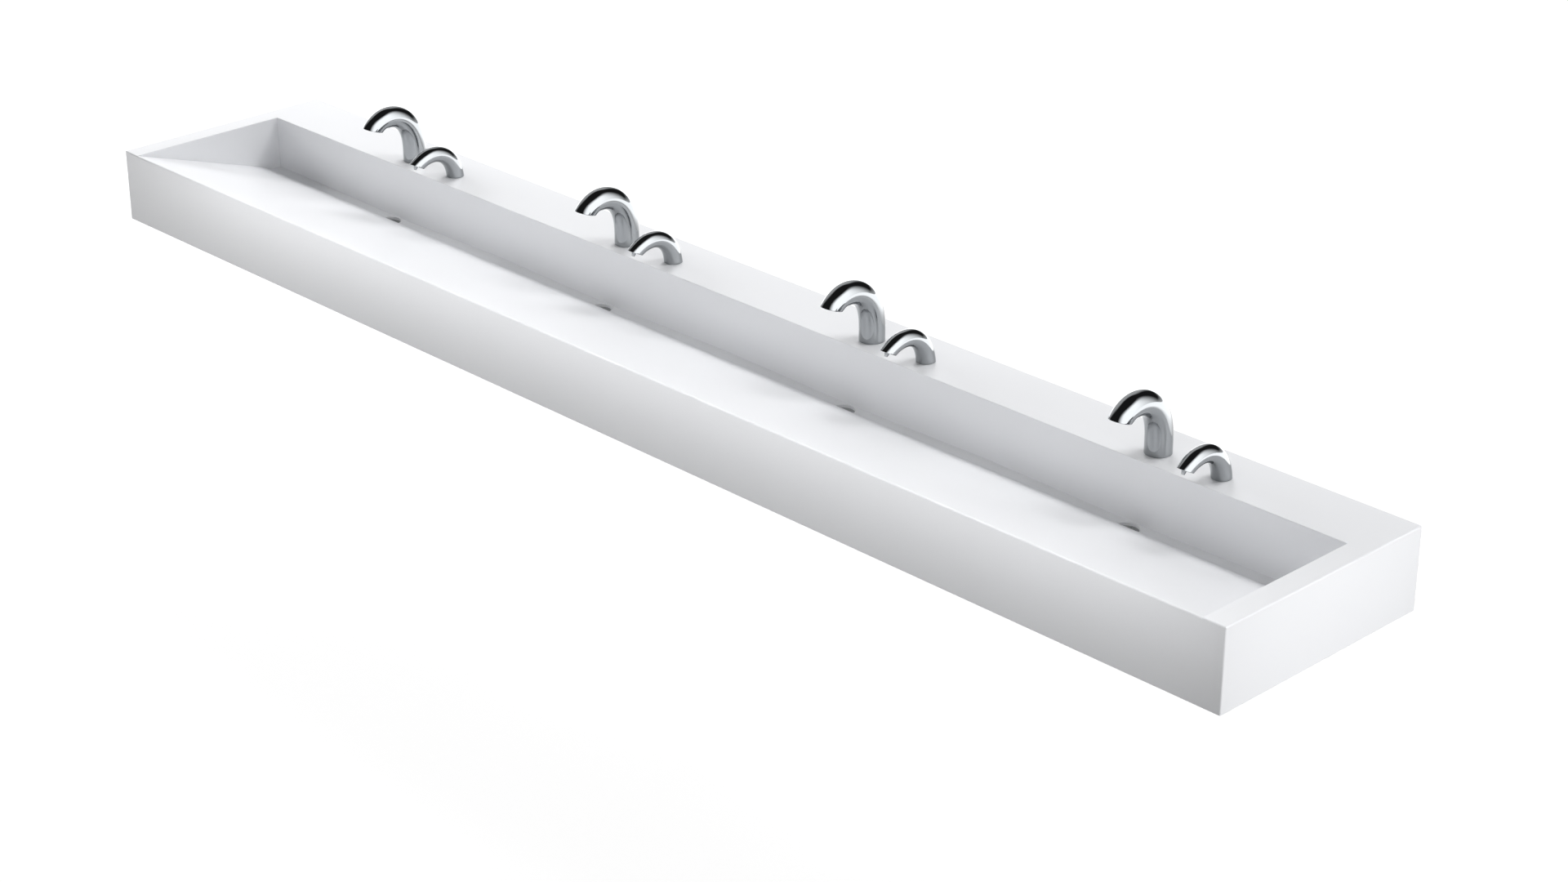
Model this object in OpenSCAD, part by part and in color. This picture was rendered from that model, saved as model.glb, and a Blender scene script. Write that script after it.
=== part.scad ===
// Wall-hung trough sink of seamed solid-surface sheet for four washing stations: a sloped ramp drains to a
// hidden trough at the back, and the rear deck carries a sensor faucet and a soap spout at each station.
// +X runs along the length, -Y faces the user, +Z is up. The origin is the middle of the back top edge,
// on the wall's plane.

/* [Deck and apron] */
// Distance from one washing station to the next
station_pitch = 762; // [600:1:900]
// Length added at each end past the outer stations
end_margin = 152; // [100:1:220]
// Depth from the wall to the front face
sink_depth = 560; // [520:1:620]
// Height of the front and end faces
apron_height = 172; // [165:1:230]
// Thickness of the solid-surface sheet
sheet = 12.7; // [11:0.1:14]
// Depth of the rear deck that carries the spouts
deck_depth = 154; // [150:1:175]
// Width of the top rim at each end
rim_width = 51; // [42:1:90]
// Radius of the outer arrises
arris_r = 3; // [1:0.5:5]
// Radius of the arrises round the basin
inner_arris_r = 1.5; // [0.5:0.25:3]

/* [Ramp and trough] */
// Slope of the ramp, falling from the front edge to the back
ramp_angle = 18.1; // [15:0.1:19]
// Radius of the ramp's rounded nose
nose_r = 150; // [100:1:200]
// How far the nose's tip dips below the ramp's own plane
nose_dip = 4.2; // [3:0.1:6]
// Height of the blunt edge at the nose's tip
lip_edge = 1.5; // [1:0.1:2]
// Opening between the nose's tip and the basin's back wall
trough_gap = 34; // [28:1:45]
// Depth of the trough floor from the back wall to its front strip
trough_width = 93; // [88:1:110]
// Fall of the trough floor from each ridge to the drains
trough_fall = 5; // [3:0.5:8]
// Length of the flat landing round each drain
landing = 80; // [70:1:120]

/* [Faucets] */
// Distance of every spout's axis from the deck's front edge
spout_inset = 54; // [50:1:58]
// Radius of the faucet at the deck
faucet_base_r = 27.7; // [26:0.1:30]
// Radius of the faucet at its mouth
faucet_tip_r = 22.6; // [21:0.1:24]
// Length of the faucet along its curved centre line
faucet_length = 213.5; // [190:0.5:240]
// Wall of the cast faucet
faucet_wall = 3.2; // [2.5:0.1:3.6]
// Radius of the faucet's threaded shank
shank_r = 16.5; // [14:0.1:17]
// Length of the shank below the deck's top
shank_drop = 60; // [55:1:75]
// Radius of the valve body under each faucet
valve_r = 23; // [21:0.5:28]
// Height of the valve body
valve_height = 70; // [60:1:90]
// Radius of the water inlet's thread, for a half-inch connector
inlet_r = 10.5; // [8:0.1:13]
// Length of the water inlet's thread
inlet_length = 16; // [12:1:25]

/* [Soap dispensers] */
// Distance from each faucet to the soap spout on its right
soap_offset = 153; // [120:1:200]
// Radius of the soap spout at the deck
soap_base_r = 20.7; // [19.5:0.1:23]
// Radius of the soap spout at its mouth
soap_tip_r = 16.5; // [15.5:0.1:18]
// Length of the soap spout along its curved centre line
soap_length = 152.5; // [135:0.5:170]
// Wall of the soap spout
soap_wall = 3; // [2.4:0.1:3.2]
// Radius of the soap spout's threaded shank
soap_shank_r = 12; // [10:0.1:12.5]
// Radius of the pump housing
pump_r = 30; // [27:0.5:34]
// Height of the pump housing
pump_height = 62; // [55:1:75]
// Radius of the soap bottle
bottle_r = 38; // [34:0.5:39]
// Height of the soap bottle below its neck
bottle_height = 178; // [150:1:200]
// Wall of the soap bottle
bottle_wall = 2; // [1.5:0.1:3]

/* [Drains] */
// Radius of the drain opening in the trough floor
drain_r = 26.5; // [24:0.1:27.5]
// Outer radius of the tailpiece
tail_r = 19.05; // [16:0.05:20]
// Wall of the tailpiece
tail_wall = 1.2; // [0.8:0.1:2]
// Length of the tailpiece below its nut
tail_length = 95; // [60:1:150]

/* [Wall brackets] */
// Thickness of the bracket's gusset and wall plate
bracket_plate = 8; // [6:0.5:12]
// Width of the wall plate and the seats
bracket_width = 80; // [70:1:100]
// Height of the wall plate's lower end below the rim
bracket_drop = 270; // [250:1:350]
// Thickness of the seats under the deck, trough and ramp
seat = 6; // [5:0.5:10]
// Radius of the wall bolt holes
wall_hole_r = 5.5; // [4:0.1:7]
// Distance between the wall bolt holes along the length
wall_hole_x = 52; // [46:1:56]
// Distance between the wall bolt holes up the wall
wall_hole_z = 170; // [140:1:190]

/* [Hidden] */
$fn = 64;

// Colours of the solid surface, the chrome, the steel, the rubber and the plastics
stone_colour = [0.93, 0.93, 0.94];
chrome_colour = [0.75, 0.77, 0.78];
steel_colour = [0.55, 0.56, 0.58];
rubber_colour = [0.12, 0.12, 0.13];
brass_colour = [0.72, 0.6, 0.35];
dark_colour = [0.08, 0.08, 0.1];
housing_colour = [0.3, 0.32, 0.35];
bottle_colour = [0.86, 0.88, 0.86];

// Overrun of every cut, the clearance of a shaft in its hole and the play of a screw in a clamped plate
over = 2;
fit = 0.05;
screw_play = 0.2;

// Places along the length
stations = 4;
sink_length = stations * station_pitch + 2 * end_margin;
basin_half = sink_length / 2 - rim_width;
station_x = [for (i = [0:stations - 1]) (i - (stations - 1) / 2) * station_pitch];
bracket_x = [for (i = [0:stations]) (i - stations / 2) * station_pitch];
soap_x = [for (x = station_x) x + soap_offset];
spout_setback = deck_depth - spout_inset;

// The ramp's plane, its nose and the trough, as points of the section, [y, z]
ramp_way = [cos(ramp_angle), -sin(ramp_angle)];
ramp_up = [sin(ramp_angle), cos(ramp_angle)];
ramp_start = [-sink_depth, 0];
tip_y = -deck_depth - trough_gap;
tip_run = (tip_y + sink_depth + nose_dip * ramp_up.x) / ramp_way.x;
nose_tip = ramp_start + tip_run * ramp_way - nose_dip * ramp_up;
nose_run = tip_run - sqrt(nose_dip * (2 * nose_r - nose_dip));
nose_start = ramp_start + nose_run * ramp_way;
nose_centre = nose_start - nose_r * ramp_up;
lip_z = nose_tip.y - lip_edge;
mitre_drop = sheet / tan((90 - ramp_angle) / 2);
ridge_z = lip_z;
landing_z = ridge_z - trough_fall;
shell_bottom = landing_z - sheet;
trough_front = -deck_depth - trough_width;

// Height of the ramp's underside at a depth y
function under_ramp(y) = -(y + sink_depth) * tan(ramp_angle) - sheet / cos(ramp_angle);

// Drains: a flange clamped under the trough floor, with a spigot that fills the opening up to the recess
drain_wall_gap = 3;
drain_y = -deck_depth - drain_r - drain_wall_gap;
drain_recess = 6;
gasket_t = 2;
flange_width = 11.5;
flange_r = drain_r + flange_width;
flange_t = 5;
spigot_r = drain_r - fit;
spigot_rim = 1.5;
strainer_r = spigot_r - spigot_rim;
strainer_t = 2;
strainer_hole_r = 2.1;
strainer_pitch = 6;
strainer_rings = 3;
strainer_ledge = 4;
drain_throat_r = strainer_r - strainer_ledge;
drain_hub_height = 18;
drain_thread_t = 2;
drain_thread_r = tail_r + drain_thread_t;
drain_thread_height = 16;
tail_lip_width = 1.8;
tail_lip_r = tail_r + tail_lip_width;
tail_lip_t = 1.5;
tail_neck_step = 0.4;
tail_neck_reach = 1;
tail_nut_wall = 5;
tail_nut_r = drain_thread_r + tail_nut_wall;
tail_nut_height = 18;
tail_nut_floor = 3;
spigot_top = landing_z - drain_recess;
flange_top = shell_bottom - gasket_t;
drain_hub_end = flange_top - flange_t - drain_hub_height;
drain_end = drain_hub_end - drain_thread_height;
drain_screw_r = 2.5;
drain_screw_head_r = 4.5;
drain_screw_head = 3;
drain_screw_bite = 8;
drain_screw_pcr = (drain_r + flange_r) / 2;

// Spouts: how far the curve turns, the shares of the length where it starts and would end, the mouth's tilt
// from level, and the facets of the tapered sweep
faucet_turn_angle = 190;
faucet_turn_share = [0.06, 1.494];
faucet_taper_power = 2;
faucet_mouth_angle = 162;
faucet_rings = 26;
faucet_sides = 24;
soap_turn_angle = 132.3;
soap_turn_share = [-0.169, 1.176];
soap_taper_power = 1;
soap_mouth_angle = 152.6;
soap_rings = 18;
soap_sides = 20;
bore_rings = 12;
bore_sides = 12;
mouth_overrun = 14;
base_overrun = 5;

// Faucet: the boss at its base takes the shank, and the insert fills its mouth
boss_height = 22;
shank_top = 20;
shank_wall = 7;
shank_bore_r = shank_r - shank_wall;
spout_gasket_t = 1.2;
gasket_rim = 3.5;
gasket_land = 2.2;
faucet_gasket_r = [shank_r + gasket_land, faucet_base_r - gasket_rim];
hole_play = 1;
deck_hole_r = shank_r + hole_play;
washer_t = 2;
washer_rim = 9;
nut_height = 10;
nut_rim = 7.5;
mouth_bore_depth = 24;
insert_ledge = 1;
insert_length = 15;
insert_recess = 2;
faucet_insert_r = faucet_tip_r - faucet_wall - insert_ledge;
aerator_r = 10;
aerator_wall = 2.5;
aerator_shift = 4.5;
aerator_length = 10;
lens_r = 3.2;
lens_length = 8;
lens_gap = 1;
faucet_lens_shift = aerator_shift - aerator_r - lens_r - lens_gap;
thread_bite = 12;
coil_r = 13;
coil_length = 20;
coil_drop = 28;

// Soap spout, pump and bottle
soap_boss_height = 16;
soap_shank_top = 14;
soap_shank_drop = 62;
soap_shank_bore_r = 5;
soap_gasket_r = [soap_shank_r + gasket_land, soap_base_r - gasket_rim];
soap_hole_r = soap_shank_r + hole_play;
soap_nut_r = 21;
soap_insert_r = soap_tip_r - soap_wall - insert_ledge;
soap_insert_length = 12;
nozzle_r = 5.5;
nozzle_bore_r = 2.5;
nozzle_out = 9;
nozzle_in = 8;
nozzle_shift = 2.5;
soap_lens_r = 2;
soap_lens_length = 5;
soap_lens_shift = nozzle_shift - nozzle_r - soap_lens_r - lens_gap;
soap_bore_depth = 16;
pump_top = -soap_shank_drop + thread_bite;
pump_end = pump_top - pump_height;
pump_roof = 10;
neck_r = 17;
neck_height = 24;
neck_wall = 3;
neck_gap = 0.35;
neck_bite = 14.5;
pump_chamber_r = 12;
dip_tube_r = 4;
dip_tube_wall = 1;
dip_tube_bite = 8;
bottle_corner_r = 14;
bottle_base_gap = 8;
bottle_neck_top = pump_end + neck_bite;
bottle_shoulder = bottle_neck_top - neck_height;
bottle_bottom = bottle_shoulder - bottle_height;

// Wall brackets
bracket_top = 25;
gusset_front = sink_depth - 2.4 * sheet;
gusset_nose = 32;
service_hole_r = 30;
service_z = -105;
deck_screw_r = 3;
deck_screw_head_r = 5.5;
deck_screw_head = 4;
deck_screw_bite = 8;
deck_screw_x = 25;
deck_screw_back = 45;
deck_screw_inset = 42;
deck_screw_y = [deck_screw_back, deck_depth - deck_screw_inset];
ramp_seat_width = 60;

// A section drawn as [y, z], run along the length between -half and half
module along(half) {
    translate([-half, 0, 0])
        rotate([90, 0, 90])
            linear_extrude(2 * half)
                children();
}

// What an arris of this radius takes off a top edge that runs along +X, with the solid behind and below it
module top_arris(length, r) {
    difference() {
        translate([0, -over, -r])
            cube([length, r + over, r + over]);
        translate([-over, r, -r])
            rotate([0, 90, 0])
                cylinder(r = r, h = length + 2 * over);
    }
}

// The same for the edge between the front face and the ramp, as a section
module ramp_arris() {
    reach = arris_r / tan((90 - ramp_angle) / 2);
    low = ramp_start - [0, reach];
    high = ramp_start + reach * ramp_way;
    difference() {
        polygon([
            low,
            low - [over, 0],
            ramp_start + [-over, over],
            high + over * ramp_up,
            high
        ]);
        translate(low + [arris_r, 0])
            circle(r = arris_r);
    }
}

// Deck

module spout_places(places) {
    for (x = places)
        translate([x, -spout_setback, 0])
            children();
}

module deck_screw_places() {
    for (side = [-1, 1])
        for (y = deck_screw_y)
            translate([side * deck_screw_x, -y, 0])
                children();
}

module rear_deck() {
    color(stone_colour)
        difference() {
            translate([-sink_length / 2, -deck_depth, -sheet])
                cube([sink_length, deck_depth, sheet]);
            spout_places(station_x)
                translate([0, 0, -sheet - over])
                    cylinder(r = deck_hole_r, h = sheet + 2 * over);
            spout_places(soap_x)
                translate([0, 0, -sheet - over])
                    cylinder(r = soap_hole_r, h = sheet + 2 * over);
            for (x = bracket_x)
                translate([x, 0, -sheet - over])
                    deck_screw_places()
                        cylinder(r = deck_screw_r + fit, h = over + deck_screw_bite + fit);
            for (side = [0, 1])
                mirror([side, 0, 0])
                    translate([sink_length / 2, -deck_depth - over, 0])
                        rotate([0, 0, 90])
                            top_arris(deck_depth + 2 * over, arris_r);
            translate([-basin_half, -deck_depth, 0])
                top_arris(2 * basin_half, inner_arris_r);
        }
}

module end_rim() {
    rim_depth = sink_depth - deck_depth;
    color(stone_colour)
        difference() {
            translate([basin_half, -sink_depth, -sheet])
                cube([rim_width, rim_depth, sheet]);
            translate([sink_length / 2, -sink_depth - over, 0])
                rotate([0, 0, 90])
                    top_arris(rim_depth + 2 * over, arris_r);
            translate([basin_half, over - deck_depth, 0])
                rotate([0, 0, -90])
                    top_arris(rim_depth + 2 * over, inner_arris_r);
            translate([basin_half - over, -sink_depth, 0])
                top_arris(rim_width + 2 * over, arris_r);
            corner_arris();
        }
}

// The vertical arris where the front and end faces meet
module corner_arris() {
    translate([sink_length / 2 - arris_r, arris_r - sink_depth, -apron_height - over])
        difference() {
            translate([0, -arris_r - over, 0])
                cube([arris_r + over, arris_r + over, apron_height + 2 * over]);
            translate([0, 0, -over])
                cylinder(r = arris_r, h = apron_height + 4 * over);
        }
}

module end_rim_left() {
    mirror([1, 0, 0])
        end_rim();
}

module end_rim_right() {
    end_rim();
}

module front_apron() {
    color(stone_colour)
        difference() {
            union() {
                along(basin_half)
                    difference() {
                        polygon([
                            ramp_start,
                            [sheet - sink_depth, -mitre_drop],
                            [sheet - sink_depth, -apron_height],
                            [-sink_depth, -apron_height]
                        ]);
                        ramp_arris();
                    }
                translate([-sink_length / 2, -sink_depth, -apron_height])
                    cube([rim_width, sheet, apron_height - sheet]);
                translate([basin_half, -sink_depth, -apron_height])
                    cube([rim_width, sheet, apron_height - sheet]);
            }
            corner_arris();
            mirror([1, 0, 0])
                corner_arris();
        }
}

module end_panel() {
    color(stone_colour)
        translate([sink_length / 2 - sheet, sheet - sink_depth, -apron_height])
            cube([sheet, sink_depth - sheet, apron_height - sheet]);
}

module end_panel_left() {
    mirror([1, 0, 0])
        end_panel();
}

module end_panel_right() {
    end_panel();
}

// Basin

module basin_back_wall() {
    color(stone_colour)
        translate([-basin_half - sheet, -deck_depth, shell_bottom])
            cube([2 * (basin_half + sheet), sheet, -sheet - shell_bottom]);
}

module basin_end() {
    color(stone_colour)
        translate([basin_half, sheet - sink_depth, shell_bottom])
            cube([sheet, sink_depth - deck_depth - sheet, -sheet - shell_bottom]);
}

module basin_end_left() {
    mirror([1, 0, 0])
        basin_end();
}

module basin_end_right() {
    basin_end();
}

// The ramp: a mitred sheet whose back edge rolls over a large radius into a flat-bottomed lip
module ramp_panel() {
    past_tip = tip_y + over;
    color(stone_colour)
        along(basin_half)
            difference() {
                polygon([
                    ramp_start,
                    [past_tip, -(past_tip + sink_depth) * tan(ramp_angle)],
                    [past_tip, lip_z],
                    [-sink_depth - (lip_z + sheet / cos(ramp_angle)) / tan(ramp_angle), lip_z],
                    [sheet - sink_depth, -mitre_drop]
                ]);
                ramp_arris();
                difference() {
                    polygon([
                        nose_centre,
                        nose_start + over * ramp_up,
                        [past_tip + over, nose_start.y + over],
                        [past_tip + over, lip_z - over]
                    ]);
                    translate(nose_centre)
                        circle(r = nose_r, $fn = 4 * $fn);
                }
            }
}

// The trough floor falls from ridges between the stations to a flat landing round each drain
module trough_floor() {
    falls = [
        for (i = [0:stations - 1])
            each [
                [station_x[i] - landing / 2, landing_z],
                [station_x[i] + landing / 2, landing_z],
                [i < stations - 1 ? station_x[i] + station_pitch / 2 : basin_half, ridge_z]
            ]
    ];
    color(stone_colour)
        difference() {
            translate([0, -deck_depth, 0])
                rotate([90, 0, 0])
                    linear_extrude(trough_width)
                        polygon([
                            [-basin_half, shell_bottom],
                            [-basin_half, ridge_z],
                            each falls,
                            [basin_half, shell_bottom]
                        ]);
            drain_places() {
                translate([0, 0, shell_bottom - over])
                    cylinder(r = drain_r, h = sheet + trough_fall + 2 * over);
                drain_screw_places()
                    translate([0, 0, shell_bottom - over])
                        cylinder(r = drain_screw_r + fit, h = over + drain_screw_bite + fit);
            }
        }
}

module trough_front_strip() {
    color(stone_colour)
        along(basin_half)
            polygon([
                [trough_front, shell_bottom],
                [trough_front, under_ramp(trough_front)],
                [trough_front - sheet, under_ramp(trough_front - sheet)],
                [trough_front - sheet, shell_bottom]
            ]);
}

// Drains

module drain_places() {
    for (x = station_x)
        translate([x, drain_y, 0])
            children();
}

module drain_screw_places() {
    for (turn = [45:90:315])
        rotate([0, 0, turn])
            translate([drain_screw_pcr, 0, 0])
                children();
}

module drain_body() {
    seat_z = spigot_top - strainer_t;
    color(steel_colour)
        difference() {
            union() {
                translate([0, 0, flange_top - flange_t])
                    cylinder(r = flange_r, h = flange_t);
                translate([0, 0, drain_hub_end])
                    cylinder(r = spigot_r, h = spigot_top - drain_hub_end);
                translate([0, 0, drain_end])
                    cylinder(r = drain_thread_r, h = drain_thread_height + over);
            }
            translate([0, 0, seat_z])
                cylinder(r = strainer_r + fit, h = strainer_t + over);
            translate([0, 0, drain_hub_end + over])
                cylinder(r = drain_throat_r, h = seat_z - drain_hub_end);
            translate([0, 0, drain_end - over])
                cylinder(r = tail_r - tail_wall, h = seat_z - drain_end);
            drain_screw_places()
                translate([0, 0, flange_top - flange_t - over])
                    cylinder(r = drain_screw_r + screw_play, h = flange_t + 2 * over);
        }
}

module drain_strainer() {
    color(chrome_colour)
        translate([0, 0, spigot_top - strainer_t])
            difference() {
                cylinder(r = strainer_r, h = strainer_t);
                translate([0, 0, -over]) {
                    cylinder(r = strainer_hole_r, h = strainer_t + 2 * over);
                    for (ring = [1:strainer_rings])
                        for (k = [0:6 * ring - 1])
                            rotate([0, 0, k * 60 / ring])
                                translate([ring * strainer_pitch, 0, 0])
                                    cylinder(r = strainer_hole_r, h = strainer_t + 2 * over);
                }
            }
}

module drain_gasket() {
    translate([0, 0, shell_bottom - gasket_t])
        difference() {
            cylinder(r = flange_r, h = gasket_t);
            translate([0, 0, -over])
                cylinder(r = drain_r, h = gasket_t + 2 * over);
            translate([0, 0, -over])
                drain_screw_places()
                    cylinder(r = drain_screw_r + screw_play, h = gasket_t + 2 * over);
        }
}

module drain_screw() {
    translate([0, 0, flange_top - flange_t - drain_screw_head])
        cylinder(r = drain_screw_head_r, h = drain_screw_head);
    translate([0, 0, flange_top - flange_t])
        cylinder(r = drain_screw_r, h = flange_t + gasket_t + drain_screw_bite);
}

module tailpiece() {
    tail_end = drain_end - tail_lip_t - tail_nut_floor - tail_length;
    difference() {
        union() {
            translate([0, 0, drain_end - tail_lip_t])
                cylinder(r = tail_lip_r, h = tail_lip_t);
            translate([0, 0, tail_end])
                cylinder(r = tail_r - tail_neck_step, h = drain_end - tail_end);
            translate([0, 0, tail_end])
                cylinder(r = tail_r, h = tail_length - tail_neck_reach);
        }
        translate([0, 0, tail_end - over])
            cylinder(r = tail_r - tail_wall, h = drain_end - tail_end + 2 * over);
    }
}

// A slip nut with eight flats: it threads on the drain's tail and holds the tailpiece's lip
module tailpiece_nut() {
    nut_low = drain_end - tail_lip_t - tail_nut_floor;
    difference() {
        translate([0, 0, nut_low])
            cylinder(r = tail_nut_r, h = tail_nut_height, $fn = 8);
        translate([0, 0, nut_low - over])
            cylinder(r = tail_r + fit, h = tail_nut_height + 2 * over);
        translate([0, 0, nut_low + tail_nut_floor])
            cylinder(r = drain_thread_r + fit, h = tail_nut_height + over);
    }
}

module drain_gaskets() {
    color(rubber_colour)
        drain_places()
            drain_gasket();
}

module drain_screws() {
    color(steel_colour)
        drain_places()
            drain_screw_places()
                drain_screw();
}

module tailpieces() {
    color(chrome_colour)
        drain_places()
            tailpiece();
}

module tailpiece_nuts() {
    color(chrome_colour)
        drain_places()
            tailpiece_nut();
}

// Wall brackets

module wall_bracket() {
    seat_front = trough_front - sheet;
    ramp_seat_back = seat_front - over;
    seat_drop = seat / cos(ramp_angle);
    color(steel_colour)
        difference() {
            union() {
                translate([-bracket_width / 2, -bracket_plate, -bracket_drop])
                    cube([bracket_width, bracket_plate, bracket_drop - bracket_top]);
                translate([-bracket_width / 2, sheet - deck_depth, -sheet - seat])
                    cube([bracket_width, deck_depth - sheet, seat]);
                translate([-bracket_width / 2, seat_front, shell_bottom - seat])
                    cube([bracket_width, sheet - deck_depth - seat_front, seat]);
                along(ramp_seat_width / 2)
                    polygon([
                        [ramp_seat_back, under_ramp(ramp_seat_back)],
                        [ramp_seat_back, under_ramp(ramp_seat_back) - seat_drop],
                        [-gusset_front, under_ramp(-gusset_front) - seat_drop],
                        [-gusset_front, under_ramp(-gusset_front)]
                    ]);
                along(bracket_plate / 2)
                    polygon([
                        [0, -sheet - seat],
                        [sheet - deck_depth, -sheet - seat],
                        [sheet - deck_depth, shell_bottom - seat],
                        [ramp_seat_back, shell_bottom - seat],
                        [ramp_seat_back, under_ramp(ramp_seat_back) - seat_drop],
                        [-gusset_front, under_ramp(-gusset_front) - seat_drop],
                        [-gusset_front, under_ramp(-gusset_front) - seat_drop - gusset_nose],
                        [0, -bracket_drop]
                    ]);
            }
            for (side = [-1, 1])
                for (end = [-1, 1])
                    translate([side * wall_hole_x / 2, over, wall_centre_z + end * wall_hole_z / 2])
                        rotate([90, 0, 0])
                            cylinder(r = wall_hole_r, h = bracket_plate + 2 * over);
            translate([-bracket_plate, (sheet - deck_depth) / 2, service_z])
                rotate([0, 90, 0])
                    cylinder(r = service_hole_r, h = 2 * bracket_plate);
            deck_screw_places()
                translate([0, 0, -sheet - seat - over])
                    cylinder(r = deck_screw_r + screw_play, h = seat + 2 * over);
        }
}

wall_centre_z = -(bracket_drop + bracket_top) / 2;

module deck_screw() {
    translate([0, 0, -sheet - seat - deck_screw_head])
        cylinder(r = deck_screw_head_r, h = deck_screw_head);
    translate([0, 0, -sheet - seat])
        cylinder(r = deck_screw_r, h = seat + deck_screw_bite);
}

module bracket_screws() {
    color(steel_colour)
        for (x = bracket_x)
            translate([x, 0, 0])
                deck_screw_places()
                    deck_screw();
}

// Spouts: a tapered tube swept along a curve that eases into its bend

function ease(t) = let (u = min(max(t, 0), 1)) u * u * (3 - 2 * u);

function bend(share, turn, span) = turn * ease((share - span[0]) / (span[1] - span[0]));

function heading(angle) = [-sin(angle), cos(angle)];

function centre_line(length, turn, span, first, last, rings) =
    let (
        share_step = (last - first) / rings / fine_steps,
        begin = first == 0 ? [0, 0] : place_at(length, turn, span, first)
    )
    [
        for (
            i = 0, point = begin;
            i <= rings * fine_steps;
            point = point + length * share_step * heading(bend(first + share_step * (i + 0.5), turn, span)),
            i = i + 1
        )
            if (i % fine_steps == 0) point
    ];

// The point of the centre line at a share of its length, where zero is the deck
function place_at(length, turn, span, share) =
    share == 0 ? [0, 0] : let (line = centre_line(length, turn, span, 0, share, path_steps)) line[path_steps];

path_steps = 16;
fine_steps = 8;

// A ring of the sweep round a point of the centre line
function ring(point, angle, r, sides) = [
    for (k = [0:sides - 1])
        let (a = 360 * k / sides)
        [r * cos(a), point[0] + r * sin(a) * cos(angle), point[1] + r * sin(a) * sin(angle)]
];

module tapered_sweep(length, turn, span, power, base_r, tip_r, first, last, rings, sides) {
    line = centre_line(length, turn, span, first, last, rings);
    points = [
        for (i = [0:rings])
            let (share = first + (last - first) * i / rings)
            each ring(
                line[i],
                bend(share, turn, span),
                base_r + (tip_r - base_r) * pow(share, power),
                sides
            )
    ];
    sides_faces = [
        for (i = [0:rings - 1])
            for (k = [0:sides - 1])
                let (a = i * sides + k, b = i * sides + (k + 1) % sides)
                each [[a, a + sides, b + sides], [a, b + sides, b]]
    ];
    polyhedron(
        points = points,
        faces = concat(
            sides_faces,
            [[for (k = [0:sides - 1]) k]],
            [[for (k = [sides - 1:-1:0]) rings * sides + k]]
        )
    );
}

// Moves its children to a point of a spout's centre line, with their +Z along the given angle
module at_share(length, turn, span, share, angle) {
    place = place_at(length, turn, span, share);
    translate([0, place[0], place[1]])
        rotate([angle, 0, 0])
            children();
}

module at_faucet_mouth(angle) {
    at_share(faucet_length, faucet_turn_angle, faucet_turn_share, 1, angle)
        children();
}

module at_soap_mouth(angle) {
    at_share(soap_length, soap_turn_angle, soap_turn_share, 1, angle)
        children();
}

faucet_end = bend(1, faucet_turn_angle, faucet_turn_share);
soap_end = bend(1, soap_turn_angle, soap_turn_share);

// What lies past a mouth's plane
module past_mouth(size) {
    translate([-size / 2, -size / 2, 0])
        cube(size);
}

// What a leaning sweep leaves below the deck's top
module below_deck(size) {
    translate([-size / 2, -size / 2, -size])
        cube(size);
}

module faucet_spout() {
    color(chrome_colour)
        difference() {
            tapered_sweep(
                faucet_length, faucet_turn_angle, faucet_turn_share, faucet_taper_power,
                faucet_base_r, faucet_tip_r,
                0, 1 + mouth_overrun / faucet_length, faucet_rings, faucet_sides
            );
            tapered_sweep(
                faucet_length, faucet_turn_angle, faucet_turn_share, faucet_taper_power,
                faucet_base_r - faucet_wall,
                faucet_tip_r - faucet_wall, boss_height / faucet_length,
                1 - mouth_bore_depth / faucet_length, bore_rings, bore_sides
            );
            translate([0, 0, -over])
                cylinder(r = shank_r + fit, h = boss_height + 2 * over);
            ring_cut(faucet_gasket_r, spout_gasket_t);
            at_faucet_mouth(faucet_end)
                translate([0, 0, -mouth_bore_depth - over])
                    cylinder(r = faucet_insert_r + fit, h = mouth_bore_depth + mouth_overrun + 2 * over);
            at_faucet_mouth(faucet_mouth_angle)
                past_mouth(3 * faucet_tip_r);
        }
}

module soap_spout() {
    color(chrome_colour)
        difference() {
            tapered_sweep(
                soap_length, soap_turn_angle, soap_turn_share, soap_taper_power, soap_base_r, soap_tip_r,
                -base_overrun / soap_length, 1 + mouth_overrun / soap_length, soap_rings, soap_sides
            );
            below_deck(3 * soap_base_r);
            tapered_sweep(
                soap_length, soap_turn_angle, soap_turn_share, soap_taper_power, soap_base_r - soap_wall,
                soap_tip_r - soap_wall, soap_boss_height / soap_length,
                1 - soap_bore_depth / soap_length, bore_rings, bore_sides
            );
            translate([0, 0, -over])
                cylinder(r = soap_shank_r + fit, h = soap_boss_height + 2 * over);
            ring_cut(soap_gasket_r, spout_gasket_t);
            at_soap_mouth(soap_end)
                translate([0, 0, -soap_bore_depth - over])
                    cylinder(r = soap_insert_r + fit, h = soap_bore_depth + mouth_overrun + 2 * over);
            at_soap_mouth(soap_mouth_angle)
                past_mouth(3 * soap_tip_r);
        }
}

// The recess in a spout's base for its gasket
module ring_cut(radii, depth) {
    difference() {
        translate([0, 0, -over])
            cylinder(r = radii[1] + fit, h = depth + over);
        translate([0, 0, -2 * over])
            cylinder(r = radii[0] - fit, h = depth + 3 * over);
    }
}

module gasket(radii) {
    difference() {
        cylinder(r = radii[1], h = spout_gasket_t);
        translate([0, 0, -over])
            cylinder(r = radii[0], h = spout_gasket_t + 2 * over);
    }
}

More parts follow.
